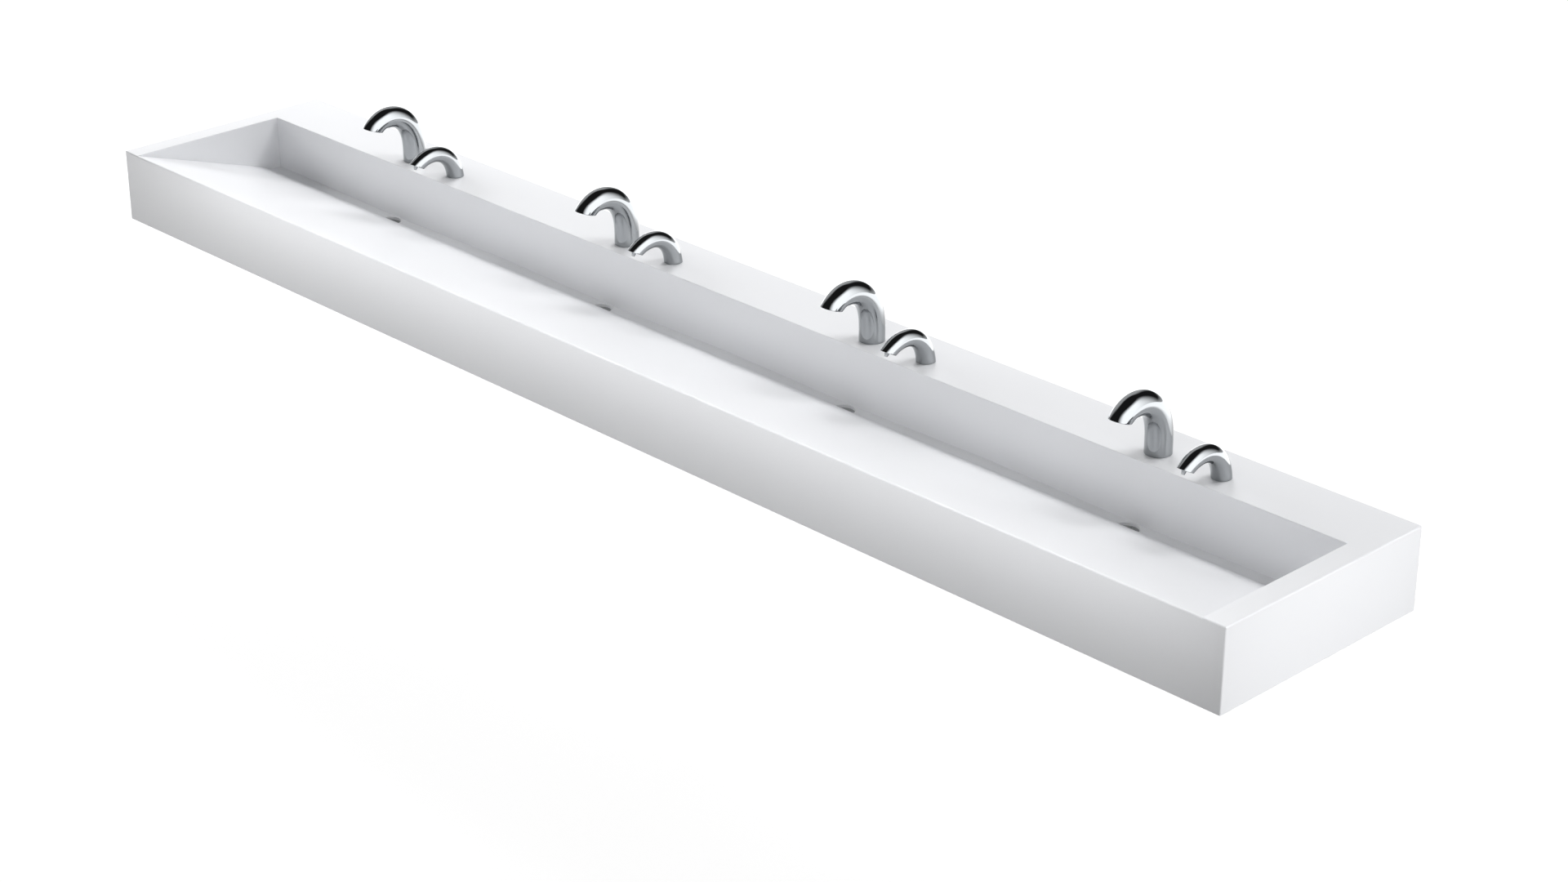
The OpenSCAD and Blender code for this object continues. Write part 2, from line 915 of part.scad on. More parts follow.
// The plug that fills a mouth, cut back from the mouth's plane
module faucet_insert() {
    difference() {
        at_faucet_mouth(faucet_end)
            difference() {
                translate([0, 0, -insert_length])
                    cylinder(r = faucet_insert_r, h = insert_length + mouth_overrun);
                translate([0, aerator_shift, -insert_length - over])
                    cylinder(r = aerator_r + fit, h = insert_length + mouth_overrun + 2 * over);
                translate([0, faucet_lens_shift, -insert_length - over])
                    cylinder(r = lens_r + fit, h = insert_length + mouth_overrun + 2 * over);
            }
        at_faucet_mouth(faucet_mouth_angle)
            translate([0, 0, -insert_recess])
                past_mouth(3 * faucet_tip_r);
    }
}

module aerator() {
    at_faucet_mouth(faucet_end)
        translate([0, aerator_shift, -insert_length])
            difference() {
                cylinder(r = aerator_r, h = aerator_length);
                translate([0, 0, -aerator_wall])
                    cylinder(r = aerator_r - aerator_wall, h = aerator_length);
            }
}

module faucet_lens() {
    at_faucet_mouth(faucet_end)
        translate([0, faucet_lens_shift, -insert_length])
            cylinder(r = lens_r, h = lens_length);
}

module shank(r, bore_r, top, drop) {
    translate([0, 0, -drop])
        difference() {
            cylinder(r = r, h = top + drop);
            translate([0, 0, -over])
                cylinder(r = bore_r, h = top + drop + 2 * over);
        }
}

module washer(r, rim) {
    translate([0, 0, -sheet - washer_t])
        difference() {
            cylinder(r = r + rim, h = washer_t);
            translate([0, 0, -over])
                cylinder(r = r + fit, h = washer_t + 2 * over);
        }
}

// A lock nut with six flats under a washer
module lock_nut(r, outer_r, sides) {
    translate([0, 0, -sheet - washer_t - nut_height])
        difference() {
            cylinder(r = outer_r, h = nut_height, $fn = sides);
            translate([0, 0, -over])
                cylinder(r = r + fit, h = nut_height + 2 * over);
        }
}

// The valve body threads on the shank's lower end, with its coil towards the wall and the inlet below
module valve_body() {
    top = -shank_drop + thread_bite;
    difference() {
        union() {
            translate([0, 0, top - valve_height])
                cylinder(r = valve_r, h = valve_height);
            translate([0, 0, top - coil_drop])
                rotate([-90, 0, 0])
                    cylinder(r = coil_r, h = valve_r + coil_length);
            translate([0, 0, top - valve_height - inlet_length])
                cylinder(r = inlet_r, h = inlet_length + over);
        }
        translate([0, 0, top - thread_bite])
            cylinder(r = shank_r + fit, h = thread_bite + over);
        translate([0, 0, top - valve_height - inlet_length - over])
            cylinder(r = inlet_r / 2, h = valve_height + inlet_length);
    }
}

module faucet_inserts() {
    color(dark_colour)
        spout_places(station_x)
            faucet_insert();
}

module aerators() {
    color(chrome_colour)
        spout_places(station_x)
            aerator();
}

module faucet_lenses() {
    color(dark_colour)
        spout_places(station_x)
            faucet_lens();
}

module faucet_gaskets() {
    color(rubber_colour)
        spout_places(station_x)
            gasket(faucet_gasket_r);
}

module faucet_shanks() {
    color(brass_colour)
        spout_places(station_x)
            shank(shank_r, shank_bore_r, shank_top, shank_drop);
}

module faucet_washers() {
    color(rubber_colour)
        spout_places(station_x)
            washer(shank_r, washer_rim);
}

module faucet_nuts() {
    color(brass_colour)
        spout_places(station_x)
            lock_nut(shank_r, shank_r + nut_rim, 6);
}

module valve_bodies() {
    color(housing_colour)
        spout_places(station_x)
            valve_body();
}

// Soap dispensers

module soap_insert() {
    difference() {
        at_soap_mouth(soap_end)
            translate([0, 0, -soap_insert_length])
                cylinder(r = soap_insert_r, h = soap_insert_length + mouth_overrun);
        at_soap_mouth(soap_mouth_angle) {
            translate([0, 0, -insert_recess])
                past_mouth(3 * soap_tip_r);
            translate([0, nozzle_shift, -2 * soap_bore_depth])
                cylinder(r = nozzle_r + fit, h = 2 * soap_bore_depth);
            translate([0, soap_lens_shift, -2 * soap_bore_depth])
                cylinder(r = soap_lens_r + fit, h = 2 * soap_bore_depth);
        }
    }
}

// The nozzle stands out of the mouth, square to its plane, with a rounded end
module soap_nozzle() {
    at_soap_mouth(soap_mouth_angle)
        translate([0, nozzle_shift, 0])
            difference() {
                union() {
                    translate([0, 0, -nozzle_in])
                        cylinder(r = nozzle_r, h = nozzle_in + nozzle_out - nozzle_r);
                    translate([0, 0, nozzle_out - nozzle_r])
                        sphere(r = nozzle_r);
                }
                translate([0, 0, -nozzle_in - over])
                    cylinder(r = nozzle_bore_r, h = nozzle_in + nozzle_out + 2 * over);
            }
}

module soap_lens() {
    at_soap_mouth(soap_mouth_angle)
        translate([0, soap_lens_shift, -insert_recess - soap_lens_length])
            cylinder(r = soap_lens_r, h = soap_lens_length);
}

module pump_housing() {
    difference() {
        translate([0, 0, pump_end])
            cylinder(r = pump_r, h = pump_height);
        translate([0, 0, pump_top - thread_bite])
            cylinder(r = soap_shank_r + fit, h = thread_bite + over);
        translate([0, 0, pump_end - over])
            cylinder(r = neck_r + neck_gap, h = over + neck_bite + neck_gap);
        translate([0, 0, pump_end])
            cylinder(r = dip_tube_r + fit, h = neck_bite + neck_gap + dip_tube_bite);
    }
}

module dip_tube() {
    low = bottle_bottom + bottle_wall + bottle_base_gap;
    high = pump_end + neck_bite + neck_gap + dip_tube_bite;
    translate([0, 0, low])
        difference() {
            cylinder(r = dip_tube_r, h = high - low);
            translate([0, 0, -over])
                cylinder(r = dip_tube_r - dip_tube_wall, h = high - low + 2 * over);
        }
}

// Half the section of the bottle, inset by its walls: the body's corners and the neck
module bottle_section(inset, neck_inset, up) {
    r = bottle_r - inset;
    corner = bottle_corner_r - inset;
    low = bottle_bottom + inset;
    high = bottle_shoulder - inset;
    translate([0, low])
        square([r - corner, high - low]);
    translate([0, low + corner])
        square([r, high - low - 2 * corner]);
    translate([r - corner, low + corner])
        circle(r = corner);
    translate([r - corner, high - corner])
        circle(r = corner);
    translate([0, high - corner])
        square([neck_r - neck_inset, bottle_neck_top + up - high + corner]);
}

module soap_bottle() {
    color(bottle_colour)
        difference() {
            rotate_extrude()
                bottle_section(0, 0, 0);
            rotate_extrude()
                bottle_section(bottle_wall, neck_wall, over);
        }
}

module soap_inserts() {
    color(dark_colour)
        spout_places(soap_x)
            soap_insert();
}

module soap_nozzles() {
    color(bottle_colour)
        spout_places(soap_x)
            soap_nozzle();
}

module soap_lenses() {
    color(dark_colour)
        spout_places(soap_x)
            soap_lens();
}

module soap_gaskets() {
    color(rubber_colour)
        spout_places(soap_x)
            gasket(soap_gasket_r);
}

module soap_shanks() {
    color(brass_colour)
        spout_places(soap_x)
            shank(soap_shank_r, soap_shank_bore_r, soap_shank_top, soap_shank_drop);
}

module soap_nuts() {
    color(housing_colour)
        spout_places(soap_x) {
            lock_nut(soap_shank_r, soap_nut_r, 8);
        }
}

module pump_housings() {
    color(housing_colour)
        spout_places(soap_x)
            pump_housing();
}

module dip_tubes() {
    color(bottle_colour)
        spout_places(soap_x)
            dip_tube();
}

// Pieces that keep a node each

module bracket_at(i) {
    translate([bracket_x[i], 0, 0])
        wall_bracket();
}

module drain_body_at(i) {
    translate([station_x[i], drain_y, 0])
        drain_body();
}

module drain_strainer_at(i) {
    translate([station_x[i], drain_y, 0])
        drain_strainer();
}

module faucet_spout_at(i) {
    translate([station_x[i], -spout_setback, 0])
        faucet_spout();
}

module soap_spout_at(i) {
    translate([soap_x[i], -spout_setback, 0])
        soap_spout();
}

module soap_bottle_at(i) {
    translate([soap_x[i], -spout_setback, 0])
        soap_bottle();
}

rear_deck();
end_rim_left();
end_rim_right();
front_apron();
end_panel_left();
end_panel_right();
basin_back_wall();
basin_end_left();
basin_end_right();
ramp_panel();
trough_floor();
trough_front_strip();
bracket_at(0);  // wall_bracket_1
bracket_at(1);  // wall_bracket_2
bracket_at(2);  // wall_bracket_3
bracket_at(3);  // wall_bracket_4
bracket_at(4);  // wall_bracket_5
bracket_screws();
drain_body_at(0);  // drain_body_1
drain_body_at(1);  // drain_body_2
drain_body_at(2);  // drain_body_3
drain_body_at(3);  // drain_body_4
drain_strainer_at(0);  // drain_strainer_1
drain_strainer_at(1);  // drain_strainer_2
drain_strainer_at(2);  // drain_strainer_3
drain_strainer_at(3);  // drain_strainer_4
drain_gaskets();
drain_screws();
tailpieces();
tailpiece_nuts();
faucet_spout_at(0);  // faucet_spout_1
faucet_spout_at(1);  // faucet_spout_2
faucet_spout_at(2);  // faucet_spout_3
faucet_spout_at(3);  // faucet_spout_4
faucet_inserts();
aerators();
faucet_lenses();
faucet_gaskets();
faucet_shanks();
faucet_washers();
faucet_nuts();
valve_bodies();
soap_spout_at(0);  // soap_spout_1
soap_spout_at(1);  // soap_spout_2
soap_spout_at(2);  // soap_spout_3
soap_spout_at(3);  // soap_spout_4
soap_inserts();
soap_nozzles();
soap_lenses();
soap_gaskets();
soap_shanks();
soap_nuts();
pump_housings();
dip_tubes();
soap_bottle_at(0);  // soap_bottle_1
soap_bottle_at(1);  // soap_bottle_2
soap_bottle_at(2);  // soap_bottle_3
soap_bottle_at(3);  // soap_bottle_4
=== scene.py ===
"""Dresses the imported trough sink: a wall-hung basin of white solid surface with a sloped ramp, four
chrome sensor faucets and four chrome soap spouts.

Metres. +X runs along the length, -Y faces the user and +Z is up.
The origin is the middle of the back top edge.
"""

import sys
import logging
import math
from collections.abc import Iterable, Sequence
from dataclasses import dataclass
from enum import Enum
from functools import reduce

import bmesh
import bpy
from mathutils import Euler, Matrix, Vector


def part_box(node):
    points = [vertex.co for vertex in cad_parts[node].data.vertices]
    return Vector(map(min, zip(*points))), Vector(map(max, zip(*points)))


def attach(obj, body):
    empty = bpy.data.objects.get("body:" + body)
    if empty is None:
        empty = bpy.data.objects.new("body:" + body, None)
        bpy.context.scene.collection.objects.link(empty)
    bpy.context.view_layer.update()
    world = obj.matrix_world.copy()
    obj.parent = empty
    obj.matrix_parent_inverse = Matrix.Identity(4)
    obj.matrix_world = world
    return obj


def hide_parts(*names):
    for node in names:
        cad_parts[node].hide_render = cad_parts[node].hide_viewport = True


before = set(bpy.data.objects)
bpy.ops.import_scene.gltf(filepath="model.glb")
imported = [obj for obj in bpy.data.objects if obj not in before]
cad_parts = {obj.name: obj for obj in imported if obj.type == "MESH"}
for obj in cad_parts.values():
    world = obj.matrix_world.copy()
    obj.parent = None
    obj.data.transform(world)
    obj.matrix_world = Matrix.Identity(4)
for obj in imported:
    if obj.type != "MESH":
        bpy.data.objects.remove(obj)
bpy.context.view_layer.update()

logging.basicConfig(level=logging.INFO, format="%(name)s: %(message)s", stream=sys.stdout)
log = logging.getLogger("trough_sink")

MM = 0.001
SINK = "sink"
STATIONS = (1, 2, 3, 4)
WHITE = (1.0, 1.0, 1.0, 1.0)
UPRIGHT = (Matrix.Identity(4),)
NOISE_SPREAD = (0.3, 0.7)
HEXAGON_TURN = math.pi / 3
POLE_RADIUS = 1e-7

Triple = tuple[float, float, float]
Profile = list[tuple[float, float]]
Mesh = bpy.types.Mesh
Node = bpy.types.Node
NodeTree = bpy.types.NodeTree
Socket = bpy.types.NodeSocket


class Graph:
    """A node tree with short calls that add nodes and join them."""

    def __init__(self, tree: NodeTree) -> None:
        """Keeps the tree that the calls work on."""
        self.tree = tree

    def add(self, kind: str, inputs: dict | None = None, **settings) -> Node:
        """Adds a node.

        Args:
            kind: The node's type name.
            inputs: Input names or numbers, each with a socket to join or a value to set.
            settings: Properties of the node, set before its inputs.

        Returns:
            The new node.
        """
        node = self.tree.nodes.new(kind)
        for name, value in settings.items():
            setattr(node, name, value)
        for key, value in (inputs or {}).items():
            self.feed(node, key, value)
        return node

    def feed(self, node: Node, key: str | int, value: object) -> None:
        """Joins a socket to a node's input, or sets the input's value.

        Args:
            node: The node that is fed.
            key: The input's name, or its number where names repeat.
            value: A socket or a plain value.
        """
        if isinstance(key, int):
            socket = node.inputs[key]
        else:
            socket = next(s for s in node.inputs if s.enabled and s.name == key)
        if isinstance(value, Socket):
            self.tree.links.new(value, socket)
        else:
            socket.default_value = value

    def maths(self, operation: str, a: object, b: object = 0.0, c: object = 0.0) -> Socket:
        """Works out a number from up to three sockets or numbers."""
        return self.add("ShaderNodeMath", {0: a, 1: b, 2: c}, operation=operation).outputs[0]

    def product(self, *factors: object) -> Socket:
        """Multiplies sockets or numbers, from the left."""
        return reduce(lambda a, b: self.maths("MULTIPLY", a, b), factors)

    def vector(self, operation: str, a: object, b: object = (0.0, 0.0, 0.0)) -> Socket:
        """Works out a vector, a dot product or a length.

        Args:
            operation: The Vector Math node's operation.
            a: The first socket or vector.
            b: The second socket or vector, or a number for SCALE.

        Returns:
            The result's socket.
        """
        node = self.add("ShaderNodeVectorMath", {0: a}, operation=operation)
        if operation != "LENGTH":
            self.feed(node, "Scale" if operation == "SCALE" else 1, b)
        return node.outputs["Value" if operation in ("DOT_PRODUCT", "LENGTH") else "Vector"]

    def xyz(self, x: object = 0.0, y: object = 0.0, z: object = 0.0) -> Socket:
        """Makes a vector of three sockets or numbers."""
        return self.add("ShaderNodeCombineXYZ", {"X": x, "Y": y, "Z": z}).outputs[0]

    def mix(self, factor: object, a: object, b: object, data_type: str = "RGBA") -> Socket:
        """Mixes a and b, which are colours, numbers or vectors. The factor is the share of b."""
        node = self.add("ShaderNodeMix", {"Factor": factor, "A": a, "B": b}, data_type=data_type)
        return next(s for s in node.outputs if s.enabled)

    def noise(self, place: Socket, scale: object, detail: float, roughness: float = 0.5) -> Socket:
        """Adds a noise texture at a place and gives its level."""
        inputs = {"Vector": place, "Scale": scale, "Detail": detail, "Roughness": roughness}
        return self.add("ShaderNodeTexNoise", inputs).outputs["Fac"]

    def ranged(self, value: object, low: object, high: object, to_low: object = 0.0,
               to_high: object = 1.0, smooth: bool = False) -> Socket:
        """Maps a range to another, held at its ends.

        Args:
            value: The socket to map.
            low: The start of its range.
            high: The end of its range.
            to_low: What the start becomes.
            to_high: What the end becomes.
            smooth: Whether the mapping eases in and out.

        Returns:
            The mapped socket.
        """
        return self.add(
            "ShaderNodeMapRange",
            {"Value": value, "From Min": low, "From Max": high, "To Min": to_low, "To Max": to_high},
            interpolation_type="SMOOTHSTEP" if smooth else "LINEAR",
        ).outputs["Result"]


class Group(Graph):
    """A node group with named sockets, while it is being built."""

    def __init__(self, name: str, kind: str, inputs: dict[str, tuple], outputs: dict[str, str]) -> None:
        """Makes the group's sockets.

        Args:
            name: The group's name.
            kind: Shader or Geometry.
            inputs: Each input's name with its kind of socket and, where it has one, its value.
            outputs: Each output's name with its kind of socket.
        """
        super().__init__(bpy.data.node_groups.new(name, kind + "NodeTree"))
        interface = self.tree.interface
        for socket, (sort, *value) in inputs.items():
            item = interface.new_socket(name=socket, in_out="INPUT", socket_type="NodeSocket" + sort)
            if value:
                item.default_value = value[0]
        for socket, sort in outputs.items():
            interface.new_socket(name=socket, in_out="OUTPUT", socket_type="NodeSocket" + sort)
        self.given = self.add("NodeGroupInput").outputs
        self.result = self.add("NodeGroupOutput")

    def finished(self, **values: Socket) -> NodeTree:
        """Joins the named outputs and gives the finished tree.

        Args:
            values: A socket for each output.

        Returns:
            The tree.
        """
        for name, value in values.items():
            self.feed(self.result, name, value)
        return self.tree


class Effect(Enum):
    """The surface effects that several finishes share."""

    MOTTLE = "mottle"
    EDGE_WEAR = "edge_wear"
    SCRATCHES = "scratches"
    WATER_MARKS = "water_marks"


class Effects:
    """The shared effects as shader node groups, each built once."""

    def __init__(self) -> None:
        """Starts with no group built."""
        self.built: dict[Effect, NodeTree] = {}

    def tree(self, effect: Effect) -> NodeTree:
        """Gives an effect's group, which is built at its first use.

        Args:
            effect: Which effect.

        Returns:
            The group.
        """
        if effect not in self.built:
            makers = {
                Effect.MOTTLE: self.mottle,
                Effect.EDGE_WEAR: self.edge_wear,
                Effect.SCRATCHES: self.scratches,
                Effect.WATER_MARKS: self.water_marks,
            }
            self.built[effect] = makers[effect]()
        return self.built[effect]

    @staticmethod
    def mottle() -> NodeTree:
        """Cloudy change of a colour over the surface, with the cloud as a value.

        Returns:
            The group.
        """
        group = Group("mottle", "Shader",
                      {"Vector": ("Vector",), "Colour": ("Color", (0.5, 0.5, 0.5, 1.0)),
                       "Scale": ("Float", 8.0), "Amount": ("Float", 0.05)},
                      {"Colour": "Color", "Value": "Float"})
        given = group.given
        cloud = group.noise(given["Vector"], given["Scale"], detail=5.0, roughness=0.55)
        level = group.ranged(cloud, *NOISE_SPREAD, -1.0, 1.0)
        gain = group.maths("MULTIPLY_ADD", level, given["Amount"], 1.0)
        return group.finished(Colour=group.vector("SCALE", given["Colour"], gain), Value=cloud)

    @staticmethod
    def edge_wear() -> NodeTree:
        """A mask of rubbed outer edges, with the normal of the eased edge.

        Returns:
            The group.
        """
        group = Group("edge_wear", "Shader",
                      {"Vector": ("Vector",), "Radius": ("Float", 0.001), "Amount": ("Float", 1.0)},
                      {"Mask": "Float", "Normal": "Vector"})
        given = group.given
        eased = group.add("ShaderNodeBevel", {"Radius": given["Radius"]}, samples=6).outputs[0]
        true_normal = group.add("ShaderNodeNewGeometry").outputs["Normal"]
        lean = group.maths("SUBTRACT", 1.0, group.vector("DOT_PRODUCT", eased, true_normal))
        flat, round_edge = 0.02, 0.25
        patches = group.ranged(group.noise(given["Vector"], scale=60.0, detail=4.0), 0.35, 0.65)
        mask = group.product(group.ranged(lean, flat, round_edge), patches, given["Amount"])
        return group.finished(Mask=mask, Normal=eased)

    @staticmethod
    def scratches() -> NodeTree:
        """Fine lines drawn out along one direction, as brushing and turning leave.

        Returns:
            The group.
        """
        group = Group("scratches", "Shader",
                      {"Vector": ("Vector",), "Stretch": ("Vector", (1.0, 1.0, 1.0)),
                       "Scale": ("Float", 400.0)},
                      {"Height": "Float"})
        drawn = group.vector("MULTIPLY", group.given["Vector"], group.given["Stretch"])
        lines = group.noise(drawn, group.given["Scale"], detail=3.0, roughness=0.7)
        return group.finished(Height=lines)

    @staticmethod
    def water_marks() -> NodeTree:
        """Sparse rings that dried drops leave.

        Returns:
            The group.
        """
        group = Group("water_marks", "Shader",
                      {"Vector": ("Vector",), "Scale": ("Float", 60.0), "Amount": ("Float", 0.5)},
                      {"Mask": "Float"})
        given = group.given
        sway, ring_radius, ring_width = 0.004, 0.28, 0.05
        bent = group.add("ShaderNodeTexNoise", {"Vector": given["Vector"], "Scale": 90.0, "Detail": 2.0})
        shaken = group.vector("MULTIPLY", bent.outputs["Color"], (sway, sway, sway))
        cells = group.add("ShaderNodeTexVoronoi", {"Vector": group.vector("ADD", given["Vector"], shaken),
                                                   "Scale": given["Scale"]})
        off_ring = group.maths("SUBTRACT", cells.outputs["Distance"], ring_radius)
        rim = group.ranged(group.maths("ABSOLUTE", off_ring), 0.0, ring_width, 1.0, 0.0, smooth=True)
        area = group.ranged(group.noise(given["Vector"], scale=5.0, detail=2.0), 0.5, 0.7, smooth=True)
        return group.finished(Mask=group.product(rim, area, given["Amount"]))


class Surface(Graph):
    """A finish's material while it is being dressed, with its shader and its Object coordinates."""

    def __init__(self, finish: "Finish", effects: Effects) -> None:
        """Makes the material with the finish's plain values.

        Args:
            finish: The finish.
            effects: The shared effects.
        """
        self.material = bpy.data.materials.new(finish.name)
        self.material.use_nodes = True
        super().__init__(self.material.node_tree)
        self.effects = effects
        self.colour = finish.colour
        self.roughness = finish.roughness
        self.material.diffuse_color = (*finish.colour, 1.0)
        self.shader = self.tree.nodes["Principled BSDF"]
        self.shader.inputs["Base Color"].default_value = (*finish.colour, 1.0)
        self.shader.inputs["Metallic"].default_value = finish.metallic
        self.shader.inputs["Roughness"].default_value = finish.roughness
        self.shader.inputs["IOR"].default_value = finish.ior
        self.place = self.add("ShaderNodeTexCoord").outputs["Object"]

    def show(self, name: str, value: Socket) -> None:
        """Joins a socket to one of the shader's inputs."""
        self.feed(self.shader, name, value)

    def effect(self, effect: Effect, **inputs: object) -> bpy.types.NodeOutputs:
        """Places a shared effect and gives its outputs."""
        tree = self.effects.tree(effect)
        return self.add("ShaderNodeGroup", {"Vector": self.place, **inputs}, node_tree=tree).outputs

    def cloud(self, scale: float, amount: float) -> bpy.types.NodeOutputs:
        """Places the mottle effect on the finish's colour and gives its outputs."""
        return self.effect(Effect.MOTTLE, Colour=(*self.colour, 1.0), Scale=scale, Amount=amount)

    def rub_edges(self, base: Socket, radius: float, amount: float, gain: float,
                  lift: float = 0.0) -> Socket:
        """Sets the base colour with rubbed, brighter edges.

        Args:
            base: The colour between the edges.
            radius: How far an edge is eased.
            amount: How much of the edges is rubbed.
            gain: What the colour is multiplied by at a rubbed edge.
            lift: What is added to it there.

        Returns:
            The normal of the eased edges.
        """
        edges = self.effect(Effect.EDGE_WEAR, Radius=radius, Amount=amount)
        bright = tuple(min(1.0, c * gain + lift) for c in self.colour)
        self.show("Base Color", self.mix(edges["Mask"], base, (*bright, 1.0)))
        return edges["Normal"]

    def roughen(self, level: Socket, below: float, above: float, marks: Socket | None = None,
                spread: tuple[float, float] = NOISE_SPREAD) -> None:
        """Lets the roughness wander about the finish's own.

        Args:
            level: What it follows.
            below: How far it falls at the start of the spread.
            above: How far it rises at the end of the spread.
            marks: What is added to it, as by dried drops.
            spread: The range of the level that counts.
        """
        rough = self.ranged(level, *spread, self.roughness - below, self.roughness + above)
        self.show("Roughness", rough if marks is None else self.maths("ADD", rough, marks))

    def relief(self, height: Socket, depth: float, strength: float, normal: Socket | None = None) -> None:
        """Gives the shader a bump.

        Args:
            height: The height's socket.
            depth: The height of 1, in metres.
            strength: The bump's strength.
            normal: The normal that the bump starts from.
        """
        bump = self.add("ShaderNodeBump", {"Height": height, "Distance": depth, "Strength": strength})
        if normal is not None:
            self.feed(bump, "Normal", normal)
        self.show("Normal", bump.outputs["Normal"])


@dataclass(frozen=True)
class Finish:
    """A finish with its plain values. Each kind of surface adds its own detail in dress."""

    name: str
    slot: str
    colour: Triple
    roughness: float = 0.4
    metallic: float = 0.0
    ior: float = 1.5

    def material(self, effects: Effects) -> bpy.types.Material:
        """Builds the finish's material.

        Args:
            effects: The shared effects.

        Returns:
            The material.
        """
        surface = Surface(self, effects)
        self.dress(surface)
        return surface.material

    def dress(self, surface: Surface) -> None:
        """Adds the detail of this kind of surface."""
        raise NotImplementedError


@dataclass(frozen=True)
class SolidSurface(Finish):
    """White mineral-filled sheet, sanded to a satin, with faint clouds and water marks."""

    edge: float = 0.3 * MM

    def dress(self, surface: Surface) -> None:
        """Adds clouds, polished edges, dried drops and the sanding's grain.

        Args:
            surface: The material that is dressed.
        """
        body = surface.cloud(scale=3.0, amount=0.008)
        eased = surface.rub_edges(body["Colour"], self.edge, amount=0.5, gain=1.05)
        drops = surface.effect(Effect.WATER_MARKS, Scale=45.0, Amount=0.012)["Mask"]
        surface.roughen(body["Value"], below=0.03, above=0.04, marks=drops)
        sanding = surface.noise(surface.place, scale=700.0, detail=2.0)
        surface.relief(sanding, depth=0.02 * MM, strength=0.35, normal=eased)


@dataclass(frozen=True)
class Plating(Finish):
    """Polished plating with the faint waviness of a cast body and a few water marks."""

    waviness: float = 0.01

    def dress(self, surface: Surface) -> None:
        """Adds waviness, handling and water marks.

        Args:
            surface: The material that is dressed.
        """
        body = surface.cloud(scale=25.0, amount=0.015)
        surface.show("Base Color", body["Colour"])
        drops = surface.effect(Effect.WATER_MARKS, Scale=110.0, Amount=0.06)["Mask"]
        surface.roughen(body["Value"], below=0.0, above=0.05, marks=drops, spread=(0.45, 0.75))
        waves = surface.noise(surface.place, scale=30.0, detail=1.0)
        surface.relief(waves, depth=0.2 * MM, strength=self.waviness)


class Grain(Enum):
    """The way that a metal's machining marks run."""

    ALONG = (1.0, 14.0, 14.0)
    TURNED = (1.0, 1.0, 22.0)


@dataclass(frozen=True)
class WorkedMetal(Finish):
    """Bare steel or brass with drawn or turned marks and rubbed edges."""

    grain: Grain = Grain.ALONG
    spangle: float = 0.0

    def dress(self, surface: Surface) -> None:
        """Adds marks, spangle and edge wear.

        Args:
            surface: The material that is dressed.
        """
        body = surface.cloud(scale=14.0, amount=0.06)
        crystals = surface.add("ShaderNodeTexVoronoi", {"Vector": surface.place, "Scale": 130.0})
        sparkle = surface.maths("SUBTRACT", crystals.outputs["Color"], 0.5)
        tone = surface.maths("MULTIPLY_ADD", sparkle, self.spangle, 1.0)
        base = surface.vector("SCALE", body["Colour"], tone)
        eased = surface.rub_edges(base, radius=1.2 * MM, amount=0.8, gain=1.25)
        lines = surface.effect(Effect.SCRATCHES, Stretch=self.grain.value, Scale=160.0)["Height"]
        surface.roughen(lines, below=0.08, above=0.1)
        surface.relief(lines, depth=0.04 * MM, strength=0.35, normal=eased)


@dataclass(frozen=True)
class Moulding(Finish):
    """Moulded plastic or rubber with a fine texture."""

    texture: float = 500.0
    depth: float = 0.05 * MM
    transmission: float = 0.0

    def dress(self, surface: Surface) -> None:
        """Adds clouds, rubbed edges and the mould's texture.

        Args:
            surface: The material that is dressed.
        """
        surface.shader.inputs["Transmission Weight"].default_value = self.transmission
        body = surface.cloud(scale=20.0, amount=0.08)
        eased = surface.rub_edges(body["Colour"], radius=0.8 * MM, amount=0.4, gain=1.4, lift=0.01)
        surface.roughen(body["Value"], below=0.05, above=0.06)
        skin = surface.noise(surface.place, self.texture, detail=3.0)
        surface.relief(skin, self.depth, strength=0.4, normal=eased)


STONE = SolidSurface("white_solid_surface", "solid_surface", (0.819, 0.827, 0.847), 0.32, ior=1.49)
CHROME = Plating("polished_chrome", "spout_chrome", (0.36, 0.374, 0.386), 0.05, 1.0)
TUBE_CHROME = Plating("tube_chrome", "trim_chrome", (0.45, 0.455, 0.46), 0.1, 1.0, waviness=0.03)
DRAIN_STEEL = WorkedMetal("drain_steel", "drain_steel", (0.45, 0.455, 0.46), 0.33, 1.0, grain=Grain.TURNED)
ZINC = WorkedMetal("zinc_coated_steel", "bracket_steel", (0.42, 0.43, 0.44), 0.45, 1.0, spangle=0.25)
SCREW_STEEL = WorkedMetal("screw_steel", "screw_steel", (0.5, 0.5, 0.51), 0.3, 1.0, grain=Grain.TURNED)
BRASS = WorkedMetal("turned_brass", "shank_brass", (0.6, 0.43, 0.17), 0.3, 1.0, grain=Grain.TURNED)
RUBBER = Moulding("seal_rubber", "seal_rubber", (0.018, 0.018, 0.02), 0.7)
INSERT = Moulding("mouth_insert", "insert_plastic", (0.02, 0.02, 0.023), 0.5)
LENS = Moulding("sensor_lens", "lens_plastic", (0.03, 0.006, 0.01), 0.08, texture=60.0, depth=0.005 * MM)
HOUSING = Moulding("grey_housing", "housing_plastic", (0.07, 0.075, 0.085), 0.45)
NOZZLE = Plating("plated_nozzle", "nozzle_plastic", (0.36, 0.374, 0.386), 0.08, 1.0)
DIP_TUBE = Moulding("clear_dip_tube", "nozzle_plastic", (0.62, 0.64, 0.66), 0.15, depth=0.01 * MM)
BOTTLE = Moulding("milky_bottle", "bottle_plastic", (0.78, 0.8, 0.78), 0.35, texture=300.0,
                  transmission=0.45)
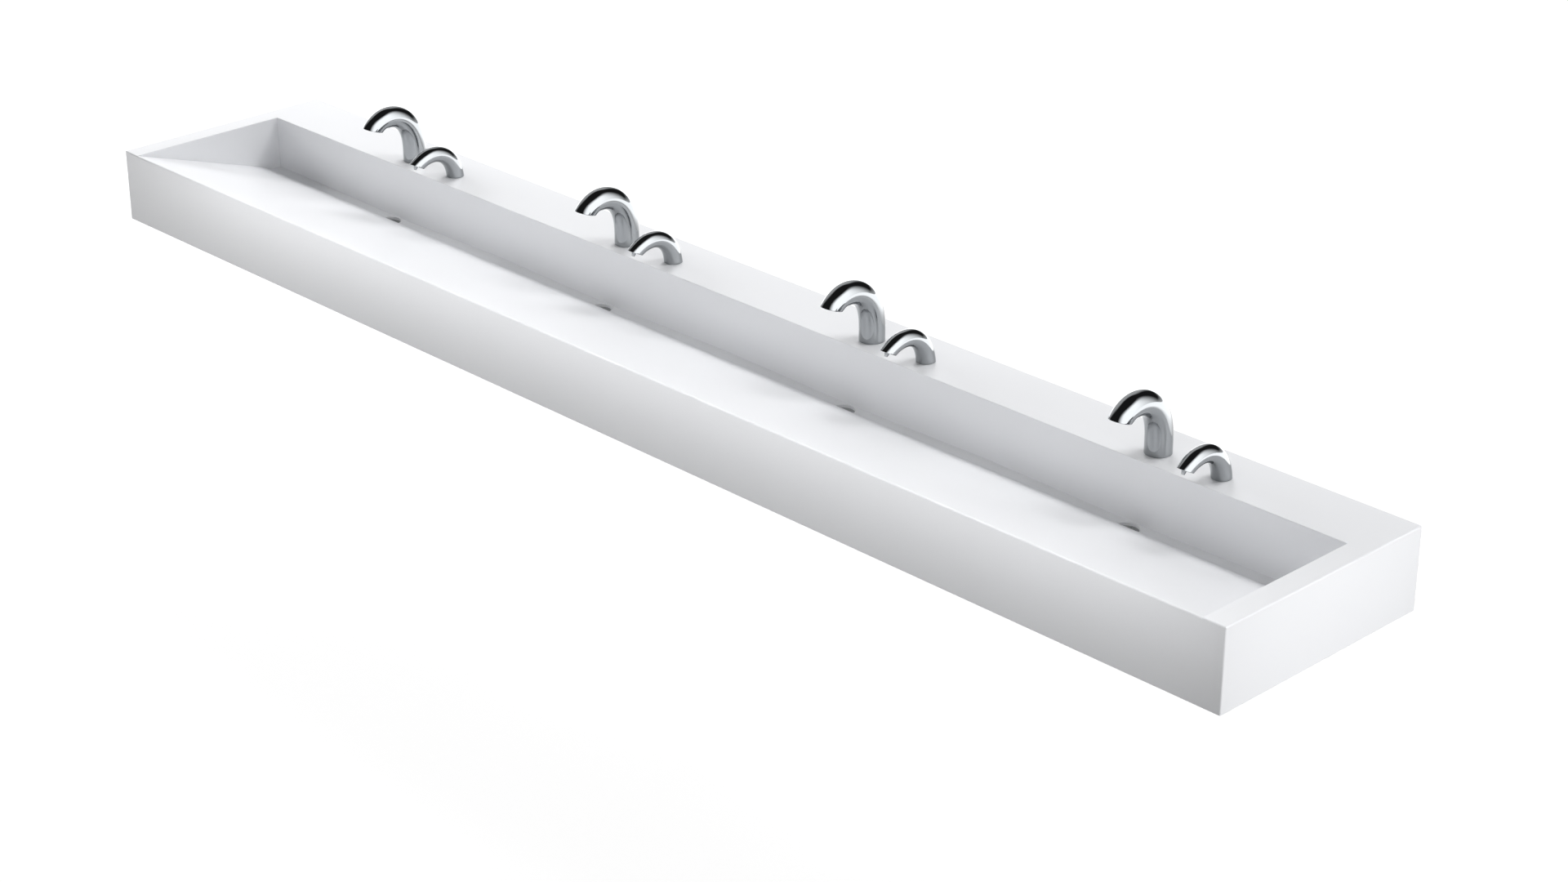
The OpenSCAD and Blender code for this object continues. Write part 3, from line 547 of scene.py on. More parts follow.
SOAP = Moulding("pink_soap", "bottle_plastic", (0.75, 0.28, 0.38), 0.2, texture=40.0, depth=0.01 * MM)
FINISHES = (STONE, CHROME, TUBE_CHROME, DRAIN_STEEL, ZINC, SCREW_STEEL, BRASS, RUBBER, INSERT, LENS,
            HOUSING, NOZZLE, DIP_TUBE, BOTTLE, SOAP)


class Workshop:
    """Makes the pieces' meshes and hangs them on their bodies in the scene."""

    def __init__(self) -> None:
        """Builds every finish's material and the tree that repeats a small piece."""
        effects = Effects()
        self.materials = {finish: finish.material(effects) for finish in FINISHES}
        self.repeat_tree = self.build_repeat_tree()

    def coat(self, finish: Finish, *nodes: str) -> None:
        """Gives CAD nodes their finish.

        Args:
            finish: The finish.
            nodes: The nodes' names.
        """
        for node in nodes:
            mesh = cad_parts[node].data
            mesh.materials.clear()
            mesh.materials.append(self.materials[finish])
            log.info("coated %s with %s", node, finish.name)

    @staticmethod
    def piece(name: str, mesh: Mesh, crease: float = 40.0) -> bpy.types.Object:
        """Turns a mesh into a smooth-shaded object.

        Args:
            name: The piece's name.
            mesh: Its mesh.
            crease: The angle in degrees past which an edge stays sharp.

        Returns:
            The object, linked to the scene.
        """
        mesh.name = name
        mesh.polygons.foreach_set("use_smooth", [True] * len(mesh.polygons))
        mesh.set_sharp_from_angle(angle=math.radians(crease))
        piece = bpy.data.objects.new(name, mesh)
        bpy.context.scene.collection.objects.link(piece)
        return piece

    def make(self, name: str, mesh: Mesh, finish: Finish, nodes: Iterable[str] = (), body: str = SINK,
             crease: float = 40.0) -> None:
        """Makes a piece that rides on its body and stands for its CAD nodes.

        Args:
            name: The piece's name.
            mesh: Its mesh.
            finish: Its finish.
            nodes: The CAD nodes that it replaces.
            body: The body that it rides on.
            crease: The angle in degrees past which an edge stays sharp.
        """
        piece = self.piece(name, mesh, crease)
        if not piece.data.materials:
            piece.data.materials.append(self.materials[finish])
        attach(piece, body)
        if nodes:
            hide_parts(*nodes)
        log.info("made %s, %d faces, on %s", piece.name, len(piece.data.polygons), body)

    @staticmethod
    def grow(name: str, base: Mesh, tree: NodeTree, values: dict[str, object]) -> Mesh:
        """Runs a geometry tree on a mesh and keeps the result as a plain mesh.

        Args:
            name: The piece's name.
            base: The mesh that the tree starts from.
            tree: The tree.
            values: The tree's named inputs.

        Returns:
            The resulting mesh.
        """
        carrier = bpy.data.objects.new(name + "_base", base)
        bpy.context.scene.collection.objects.link(carrier)
        modifier = carrier.modifiers.new("rule", "NODES")
        modifier.node_group = tree
        for item in tree.interface.items_tree:
            if item.item_type == "SOCKET" and item.in_out == "INPUT" and item.name in values:
                modifier[item.identifier] = values[item.name]
        bpy.context.view_layer.update()
        depsgraph = bpy.context.evaluated_depsgraph_get()
        mesh = bpy.data.meshes.new_from_object(carrier.evaluated_get(depsgraph), depsgraph=depsgraph)
        carrier.modifiers.remove(modifier)
        bpy.data.objects.remove(carrier)
        return mesh

    @staticmethod
    def build_repeat_tree() -> NodeTree:
        """The tree that sets a copy of a piece on each point of a mesh, turned as the point's spin says.

        Returns:
            The tree.
        """
        group = Group("repeat_piece", "Geometry",
                      {"Geometry": ("Geometry",), "Piece": ("Object",), "Random Turn": ("Float", 0.0),
                       "Seed": ("Int", 7), "Finish": ("Material",)},
                      {"Geometry": "Geometry"})
        given = group.given
        model = group.add("GeometryNodeObjectInfo", {"Object": given["Piece"]}).outputs["Geometry"]
        spin = group.add("GeometryNodeInputNamedAttribute", {"Name": "spin"}, data_type="FLOAT_VECTOR")
        chance = group.add("FunctionNodeRandomValue",
                           {"Min": 0.0, "Max": given["Random Turn"], "Seed": given["Seed"]})
        about = group.add("FunctionNodeAxisAngleToRotation",
                          {"Axis": (0.0, 0.0, 1.0), "Angle": chance.outputs["Value"]})
        lean = group.add("FunctionNodeEulerToRotation", {"Euler": spin.outputs["Attribute"]})
        turned = group.add("FunctionNodeRotateRotation", {0: lean.outputs[0], 1: about.outputs[0]},
                           rotation_space="LOCAL")
        copies = group.add("GeometryNodeInstanceOnPoints",
                           {"Points": given["Geometry"], "Instance": model, "Rotation": turned.outputs[0]})
        plain = group.add("GeometryNodeRealizeInstances", {"Geometry": copies.outputs["Instances"]})
        coated = group.add("GeometryNodeSetMaterial",
                           {"Geometry": plain.outputs["Geometry"], "Material": given["Finish"]})
        return group.finished(Geometry=coated.outputs["Geometry"])

    def repeat(self, name: str, model: Mesh, places: Sequence[Matrix], finish: Finish,
               nodes: Iterable[str] = (), random_turn: float = 0.0) -> None:
        """Makes one piece of the sink's body from copies of a small piece.

        Args:
            name: The new piece's name.
            model: The small piece's mesh, at the origin.
            places: Where each copy goes, turned and moved but not scaled.
            finish: Its finish.
            nodes: The CAD nodes that it replaces.
            random_turn: The most that a copy turns about its own axis, in radians.
        """
        base = bpy.data.meshes.new(name + "_points")
        base.from_pydata([place.translation for place in places], [], [])
        spin = base.attributes.new("spin", "FLOAT_VECTOR", "POINT")
        spin.data.foreach_set("vector", [angle for place in places for angle in place.to_euler()])
        source = self.piece(name + "_model", model)
        values = {"Piece": source, "Random Turn": random_turn, "Finish": self.materials[finish]}
        mesh = self.grow(name, base, self.repeat_tree, values)
        bpy.data.objects.remove(source)
        self.make(name, mesh, finish, nodes)


def at(x: float, y: float, z: float = 0.0) -> Matrix:
    """A plain move to a point."""
    return Matrix.Translation((x, y, z))


def spun(degrees: float, axis: str = "Z") -> Matrix:
    """A plain turn about an axis."""
    return Matrix.Rotation(math.radians(degrees), 4, axis)


def middle(node: str) -> float:
    """The X of a CAD node's middle."""
    low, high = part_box(node)
    return (low.x + high.x) / 2


def axes(node: str, setback: float) -> list[Matrix]:
    """The upright axes of the numbered CAD nodes at the four stations."""
    return [at(middle(f"{node}_{number}"), -setback) for number in STATIONS]


def quarter(steps: int, first: int = 0) -> list[tuple[float, float]]:
    """The cosine and sine of each step through a quarter turn."""
    angles = (math.pi / 2 * step / steps for step in range(first, steps + 1))
    return [(math.cos(angle), math.sin(angle)) for angle in angles]


def soften(profile: Profile, radius: float, closed: bool = False, steps: int = 4) -> Profile:
    """Rounds the corners of an outline.

    Args:
        profile: The outline's points, as radius and height.
        radius: How far along each side a corner's rounding reaches, at most.
        closed: Whether the last point joins the first.
        steps: The sides that each rounding gets.

    Returns:
        The rounded outline.
    """
    rounded: Profile = []
    count, side_share = len(profile), 0.45
    for i, point in enumerate(profile):
        if not closed and i in (0, count - 1):
            rounded.append(point)
            continue
        here, before, after = Vector(point), Vector(profile[i - 1]), Vector(profile[(i + 1) % count])
        reach = min(radius, side_share * (before - here).length, side_share * (after - here).length)
        start = here + (before - here).normalized() * reach
        end = here + (after - here).normalized() * reach
        for step in range(steps + 1):
            t = step / steps
            spot = start * (1 - t) ** 2 + here * (2 * t * (1 - t)) + end * t**2
            rounded.append((spot.x, spot.y))
    return rounded


def lathe(profile: Profile, places: Sequence[Matrix] = UPRIGHT, sides: int = 64,
          closed: bool = False) -> Mesh:
    """Turns an outline about the Z axis, once at each place.

    Args:
        profile: The outline's points, as radius and height. A radius of zero makes a pole.
        places: Where each copy goes.
        sides: The sides of each turn.
        closed: Whether the last point joins the first, as round a tube's wall.

    Returns:
        The closed mesh.
    """
    builder = bmesh.new()
    turn = [(math.cos(a), math.sin(a)) for a in (2 * math.pi * k / sides for k in range(sides))]
    for place in places:
        rings = []
        for radius, height in profile:
            if radius < POLE_RADIUS:
                rings.append([builder.verts.new(place @ Vector((0.0, 0.0, height)))] * sides)
                continue
            corners = (Vector((radius * c, radius * s, height)) for c, s in turn)
            rings.append([builder.verts.new(place @ corner) for corner in corners])
        for low, high in list(zip(rings, rings[1:])) + ([(rings[-1], rings[0])] if closed else []):
            for k in range(sides):
                after = (k + 1) % sides
                corners = list(dict.fromkeys([low[k], low[after], high[after], high[k]]))
                if len(corners) > 2:
                    builder.faces.new(corners)
    bmesh.ops.recalc_face_normals(builder, faces=builder.faces)
    mesh = bpy.data.meshes.new("turned")
    builder.to_mesh(mesh)
    builder.free()
    return mesh


def prism(sides: int, radius: float, low: float, high: float, edge: float) -> Mesh:
    """A prism with eased ends.

    Args:
        sides: The number of its sides.
        radius: From its axis to a corner.
        low: The height of its lower end.
        high: The height of its upper end.
        edge: The size of the ease.

    Returns:
        The mesh.
    """
    return lathe([(0.0, low), (radius - edge, low), (radius, low + edge), (radius, high - edge),
                  (radius - edge, high), (0.0, high)], sides=sides)


def joined(name: str, *meshes: Mesh) -> Mesh:
    """Joins meshes into one.

    Args:
        name: The new mesh's name.
        meshes: The meshes.

    Returns:
        The new mesh.
    """
    builder = bmesh.new()
    for mesh in meshes:
        builder.from_mesh(mesh)
    whole = bpy.data.meshes.new(name)
    builder.to_mesh(whole)
    builder.free()
    return whole


@dataclass(frozen=True)
class Screw:
    """A hexagon-headed screw whose head hangs below the origin and whose shaft stands up."""

    head: float
    shaft: float
    height: float

    def model(self, length: float) -> Mesh:
        """Makes the screw.

        Args:
            length: The shaft's length.

        Returns:
            The mesh.
        """
        head, shaft, height = self.head, self.shaft, self.height
        rim, root, point = -0.3 * height, -0.1 * height, 0.9 * length
        hexagon = prism(6, 0.92 * head, -height, -0.25 * height, 0.12 * head)
        washer = lathe([(0.0, rim), (head, rim), (head, 0.0), (0.0, 0.0)], sides=24)
        stem = lathe([(0.0, root), (shaft, root), (shaft, point), (0.0, length)], sides=16)
        return joined("screw", hexagon, washer, stem)


@dataclass(frozen=True)
class Thread:
    """A thread by its pitch and its depth."""

    pitch: float
    depth: float

    def outline(self, radius: float, start: float, end: float) -> Profile:
        """The outside of the thread, as radius and height.

        Args:
            radius: The thread's outer radius.
            start: The height where it starts.
            end: The height where it ends.

        Returns:
            The outline's points.
        """
        turns = max(1, int(abs(end - start) / self.pitch))
        step = (end - start) / turns
        root = radius - self.depth
        rise, crest, fall = 0.35, 0.5, 0.85
        points = [(root, start)]
        for k in range(turns):
            points += [(radius, start + step * (k + rise)), (radius, start + step * (k + crest)),
                       (root, start + step * (k + fall)), (root, start + step * (k + 1))]
        return points

    def tube(self, radius: float, bore: float, node: str) -> Profile:
        """The closed outline of a tube's wall, as tall as a CAD node and with the thread outside."""
        low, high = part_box(node)
        return [(bore, low.z), (bore, high.z)] + self.outline(radius, high.z, low.z)


@dataclass
class SubAssembly:
    """Pieces that belong together and are made in the workshop."""

    workshop: Workshop

    def build(self) -> None:
        """Makes or coats every piece."""
        raise NotImplementedError


@dataclass
class Shell(SubAssembly):
    """The deck, rims, apron, panels, basin walls, ramp and trough."""

    nodes: tuple[str, ...] = (
        "rear_deck", "end_rim_left", "end_rim_right", "front_apron", "end_panel_left", "end_panel_right",
        "basin_back_wall", "basin_end_left", "basin_end_right", "ramp_panel", "trough_floor",
        "trough_front_strip",
    )

    def build(self) -> None:
        """Coats the sheets, whose shapes come from model.glb as they are."""
        self.workshop.coat(STONE, *self.nodes)


@dataclass
class Brackets(SubAssembly):
    """The wall brackets and the screws that hold the deck."""

    numbers: tuple[int, ...] = (1, 2, 3, 4, 5)
    screw: Screw = Screw(5.5 * MM, 3 * MM, 4 * MM)
    screw_x: float = 25 * MM
    screw_y: tuple[float, float] = (45 * MM, 112 * MM)

    def build(self) -> None:
        """Coats the brackets and makes their screws."""
        brackets = [f"wall_bracket_{number}" for number in self.numbers]
        self.workshop.coat(ZINC, *brackets)
        low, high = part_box("bracket_screws")
        head = low.z + self.screw.height
        spots = [at(middle(bracket) + side * self.screw_x, -y, head)
                 for bracket in brackets for side in (-1, 1) for y in self.screw_y]
        model = self.screw.model(high.z - head)
        self.workshop.repeat("hex_screws", model, spots, SCREW_STEEL, ["bracket_screws"], HEXAGON_TURN)


@dataclass
class Drains(SubAssembly):
    """The strainers, drain bodies, gaskets, tailpieces and their nuts."""

    setback: float = 183.5 * MM
    edge: float = 0.6 * MM
    spigot: float = 26.45 * MM
    throat: float = 20.95 * MM
    ledge: float = 25.0 * MM
    step: float = 2 * MM
    flange: float = 38.0 * MM
    thread: float = 21.05 * MM
    tail: float = 19.05 * MM
    tail_bore: float = 17.85 * MM
    tail_edge: float = 0.5 * MM
    lip: float = 1.8 * MM
    lip_height: float = 1.5 * MM
    spigot_top: float = -138.507 * MM
    flange_top: float = -147.207 * MM
    flange_low: float = -152.207 * MM
    hub_low: float = -170.207 * MM
    body_low: float = -186.207 * MM
    screw_circle: float = 32.25 * MM
    screw: Screw = Screw(4.5 * MM, 2.5 * MM, 3 * MM)

    def build(self) -> None:
        """Makes the turned pieces and screws and coats the rest."""
        spots = axes("drain_body", self.setback)
        for number, spot in zip(STATIONS, spots):
            body = lathe(soften(self.body_outline(), self.edge, True), [spot], 96, True)
            self.workshop.make(f"turned_drain_{number}", body, DRAIN_STEEL, [f"drain_body_{number}"])
            self.workshop.coat(DRAIN_STEEL, f"drain_strainer_{number}")
        tails = lathe(soften(self.tail_outline(), self.tail_edge, True), spots, 96, True)
        self.workshop.make("drawn_tailpieces", tails, TUBE_CHROME, ["tailpieces"])
        self.workshop.coat(TUBE_CHROME, "tailpiece_nuts")
        self.workshop.coat(RUBBER, "drain_gaskets")
        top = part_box("drain_screws")[1].z
        places = [spot @ spun(45 + 90 * k) @ at(self.screw_circle, 0.0, self.flange_low)
                  for spot in spots for k in range(4)]
        model = self.screw.model(top - self.flange_low)
        self.workshop.repeat("flange_screws", model, places, SCREW_STEEL, ["drain_screws"], HEXAGON_TURN)

    def body_outline(self) -> Profile:
        """The drain body's wall, as radius and height.

        Returns:
            The closed outline.
        """
        seat = self.spigot_top - self.step
        floor = self.hub_low + self.step
        return [
            (self.tail_bore, self.body_low), (self.tail_bore, floor), (self.throat, floor),
            (self.throat, seat), (self.ledge, seat), (self.ledge, self.spigot_top),
            (self.spigot, self.spigot_top), (self.spigot, self.flange_top), (self.flange, self.flange_top),
            (self.flange, self.flange_low), (self.spigot, self.flange_low), (self.spigot, self.hub_low),
            (self.thread, self.hub_low), (self.thread, self.body_low),
        ]

    def tail_outline(self) -> Profile:
        """The tailpiece's wall with its lip, as radius and height.

        Returns:
            The closed outline.
        """
        low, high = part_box("tailpieces")
        lip, lip_low = self.tail + self.lip, high.z - self.lip_height
        return [(self.tail_bore, low.z), (self.tail_bore, high.z), (lip, high.z), (lip, lip_low),
                (self.tail, lip_low), (self.tail, low.z)]


@dataclass
class ArchedSpout(SubAssembly):
    """A tapered tube that rises from the deck and arches over the basin.

    Its centre line turns by an angle that eases in and out over the length. The shares say where along
    the length the turn would start and end.
    """

    kind: str
    finish: Finish
    length: float
    turn: float
    turn_start_share: float
    turn_end_share: float
    base_radius: float
    tip_radius: float
    taper_power: float
    mouth_angle: float
    bore_radius: float
    shank_radius: float
    shank_depth: float
    sides: int = 96
    rows: int = 110
    rim: float = 0.9 * MM
    shadow_gap: float = 0.7 * MM
    shank_play: float = 0.05 * MM
    square_foot: float = 5 * MM
    tilt_share: float = 0.62
    bore_depths: tuple[float, ...] = (3 * MM, 7 * MM, 12 * MM)
    setback: float = 0.1

    def angle(self, share: float) -> float:
        """The centre line's angle from upright at a share of its length.

        Args:
            share: The share of the length, from 0 at the deck to 1 at the mouth.

        Returns:
            The angle in radians.
        """
        t = (share - self.turn_start_share) / (self.turn_end_share - self.turn_start_share)
        t = min(1.0, max(0.0, t))
        return math.radians(self.turn) * t * t * (3 - 2 * t)

    def mouth(self) -> Matrix:
        """The place of the mouth, with +Z out of it, for a spout at the origin.

        Returns:
            The place, as a move and a turn.
        """
        steps = 400
        spot = Vector((0.0, 0.0, 0.0))
        for i in range(steps):
            lean = self.angle((i + 0.5) / steps)
            spot += Vector((0.0, -math.sin(lean), math.cos(lean))) * (self.length / steps)
        return Matrix.Translation(spot) @ spun(self.mouth_angle, "X")

    def outline(self) -> list[Triple]:
        """The spout's outline as rows, from the top of the shank's bore round to the mouth's bore.

        Returns:
            For each row, the way along the centre line, the radius and the share of the mouth's tilt. A
            share of -1 marks the rows of the base, which stand square to the deck.
        """
        full, gap, rim, inner = self.length, self.shadow_gap, self.rim, self.bore_radius
        bore = self.shank_radius + self.shank_play
        foot = self.base_radius - 2 * gap
        rows = [(self.shank_depth, 0.0, -1.0), (self.shank_depth, bore, -1.0), (0.0, bore, -1.0),
                (0.0, foot, -1.0)]
        rows += [(gap * (1 - c), foot + 2 * gap * s, -1.0) for c, s in quarter(4)]
        for i in range(self.rows + 1):
            way = self.square_foot + (full - rim - self.square_foot) * (i / self.rows)
            taper = (way / full) ** self.taper_power
            tilt = (way - self.tilt_share * full) / ((1 - self.tilt_share) * full - rim)
            tilt = min(1.0, max(0.0, tilt))
            radius = self.base_radius + (self.tip_radius - self.base_radius) * taper
            rows.append((way, radius, tilt * tilt * (3 - 2 * tilt)))
        rows += [(full - rim + rim * s, self.tip_radius - rim * (1 - c), 1.0) for c, s in quarter(5, 1)]
        rows += [(full - rim * (1 - c), inner + rim * (1 - s), 1.0) for c, s in quarter(5)]
        rows += [(full - depth, inner, 1.0) for depth in self.bore_depths]
        return rows + [(full - self.bore_depths[-1], 0.0, 1.0)]

    def build(self) -> None:
        """Makes the four spouts of this kind."""
        tree = SpoutRule(self).build()
        for number, spot in zip(STATIONS, axes(self.kind, self.setback)):
            node = f"{self.kind}_{number}"
            base = bpy.data.meshes.new(node + "_outline")
            base.from_pydata(self.outline(), [], [])
            values = {"Finish": self.workshop.materials[self.finish]}
            mesh = self.workshop.grow(node, base, tree, values)
            mesh.transform(spot)
            builder = bmesh.new()
            builder.from_mesh(mesh)
            bmesh.ops.recalc_face_normals(builder, faces=builder.faces)
            builder.to_mesh(mesh)
            builder.free()
            self.workshop.make("chrome_" + node, mesh, self.finish, [node], crease=50.0)


class SpoutRule(Group):
    """The tree that wraps a spout's outline round its centre line and cuts the mouth on its slant.

    The tree's geometry is the outline's rows, one point each, as way, radius and share of the tilt.
    """

    def __init__(self, spout: ArchedSpout) -> None:
        """Makes the tree's sockets.

        Args:
            spout: The spout whose sizes they start with.
        """
        super().__init__(
            spout.kind + "_rule", "Geometry",
            {"Geometry": ("Geometry",), "Length": ("Float", spout.length),
             "Turn": ("Float", math.radians(spout.turn)),
             "Turn Start Share": ("Float", spout.turn_start_share),
             "Turn End Share": ("Float", spout.turn_end_share),
             "Mouth Angle": ("Float", math.radians(spout.mouth_angle)), "Overrun": ("Float", 0.02),
             "Line Points": ("Int", 320), "Sides": ("Int", spout.sides), "Finish": ("Material",)},
            {"Geometry": "Geometry"},
        )

    def lean_at(self, way: Socket) -> Socket:
        """The centre line's angle from upright.

        Args:
            way: The way along the line.

        Returns:
            The angle in radians.
        """
        share = self.maths("DIVIDE", way, self.given["Length"])
        start, end = self.given["Turn Start Share"], self.given["Turn End Share"]
        return self.product(self.ranged(share, start, end, smooth=True), self.given["Turn"])

    def heading(self, lean: Socket) -> Socket:
        """The unit vector at an angle from upright, towards the user."""
        return self.xyz(y=self.product(self.maths("SINE", lean), -1.0), z=self.maths("COSINE", lean))

    def centre_line(self) -> Socket:
        """Lays the centre line, a little longer than the spout, from short straight steps.

        Returns:
            The curve.
        """
        points = self.given["Line Points"]
        reach = self.maths("ADD", self.given["Length"], self.given["Overrun"])
        step = self.maths("DIVIDE", reach, self.maths("SUBTRACT", points, 1.0))
        index = self.add("GeometryNodeInputIndex").outputs[0]
        half_way = self.product(self.maths("ADD", index, 0.5), step)
        stride = self.vector("SCALE", self.heading(self.lean_at(half_way)), step)
        sums = self.add("GeometryNodeAccumulateField", {"Value": stride}, data_type="FLOAT_VECTOR")
        chain = self.add("GeometryNodeMeshLine", {"Count": points})
        laid = self.add("GeometryNodeSetPosition",
                        {"Geometry": chain.outputs[0], "Position": sums.outputs["Trailing"]})
        return self.add("GeometryNodeMeshToCurve", {"Mesh": laid.outputs[0]}).outputs[0]

    def sheet(self) -> tuple[Socket, Socket, bpy.types.NodeOutputs]:
        """Makes a flat sheet that has a line of points for each row of the outline.

        Returns:
            The sheet, the angle round the spout at its points, and what the outline says for them.
        """
        outline = self.given["Geometry"]
        count = self.add("GeometryNodeAttributeDomainSize", {"Geometry": outline}).outputs["Point Count"]
        seam = self.maths("ADD", self.given["Sides"], 1.0)
        grid = self.add("GeometryNodeMeshGrid",
                        {"Size X": 1.0, "Size Y": 1.0, "Vertices X": count, "Vertices Y": seam})
        position = self.add("GeometryNodeInputPosition").outputs[0]
        spot = self.add("ShaderNodeSeparateXYZ", {0: position}).outputs
        along = self.product(self.maths("ADD", spot["X"], 0.5), self.maths("SUBTRACT", count, 1.0))
        around = self.product(self.maths("ADD", spot["Y"], 0.5), 2 * math.pi)
        row = self.add("GeometryNodeSampleIndex",
                       {"Geometry": outline, "Index": self.maths("ROUND", along), "Value": position},
                       data_type="FLOAT_VECTOR")
        told = self.add("ShaderNodeSeparateXYZ", {0: row.outputs["Value"]}).outputs
        return grid.outputs["Mesh"], around, told

    def build(self) -> NodeTree:
        """Joins the tree's steps.

        Returns:
            The finished tree.
        """
        length, line = self.given["Length"], self.centre_line()
        sheet, around, told = self.sheet()
        way, radius, mark = told["X"], told["Y"], told["Z"]
        beside, above = self.maths("COSINE", around), self.maths("SINE", around)

        tilt = self.maths("MAXIMUM", mark, 0.0)
        end_lean = self.lean_at(length)
        slant = self.maths("SUBTRACT", self.given["Mouth Angle"], end_lean)
        lift = self.product(radius, above, self.maths("TANGENT", slant))
        shifted = self.maths("MULTIPLY_ADD", lift, tilt, way)
        centre = self.add("GeometryNodeSampleCurve", {"Curves": line, "Length": shifted}, mode="LENGTH")
        lean = self.lean_at(shifted)
        across = self.xyz(y=self.maths("COSINE", lean), z=self.maths("SINE", lean))
        ring = self.vector("ADD", self.vector("SCALE", (1.0, 0.0, 0.0), beside),
                           self.vector("SCALE", across, above))
        swept = self.vector("ADD", centre.outputs["Position"], self.vector("SCALE", ring, radius))

        tip = self.add("GeometryNodeSampleCurve", {"Curves": line, "Length": length}, mode="LENGTH")
        past_tip = self.vector("SUBTRACT", swept, tip.outputs["Position"])
        off = self.vector("DOT_PRODUCT", past_tip, self.heading(self.given["Mouth Angle"]))
        wanted = self.product(self.maths("SUBTRACT", way, length), self.maths("COSINE", slant))
        short = self.maths("DIVIDE", self.maths("SUBTRACT", wanted, off), self.maths("COSINE", slant))
        flat = self.vector("ADD", swept, self.vector("SCALE", self.heading(end_lean), short))
        slanted = self.mix(self.maths("POWER", tilt, 8.0), swept, flat, "VECTOR")
        square = self.xyz(self.product(radius, beside), self.product(radius, above), way)
        final = self.mix(self.maths("LESS_THAN", mark, -0.5), slanted, square, "VECTOR")

        wrapped = self.add("GeometryNodeSetPosition", {"Geometry": sheet, "Position": final})
        merged = self.add("GeometryNodeMergeByDistance", {"Geometry": wrapped.outputs[0], "Distance": 1e-6})
        plain = self.add("GeometryNodeRealizeInstances", {"Geometry": merged.outputs[0]})
        coated = self.add("GeometryNodeSetMaterial",
                          {"Geometry": plain.outputs[0], "Material": self.given["Finish"]})
        return self.finished(Geometry=coated.outputs[0])


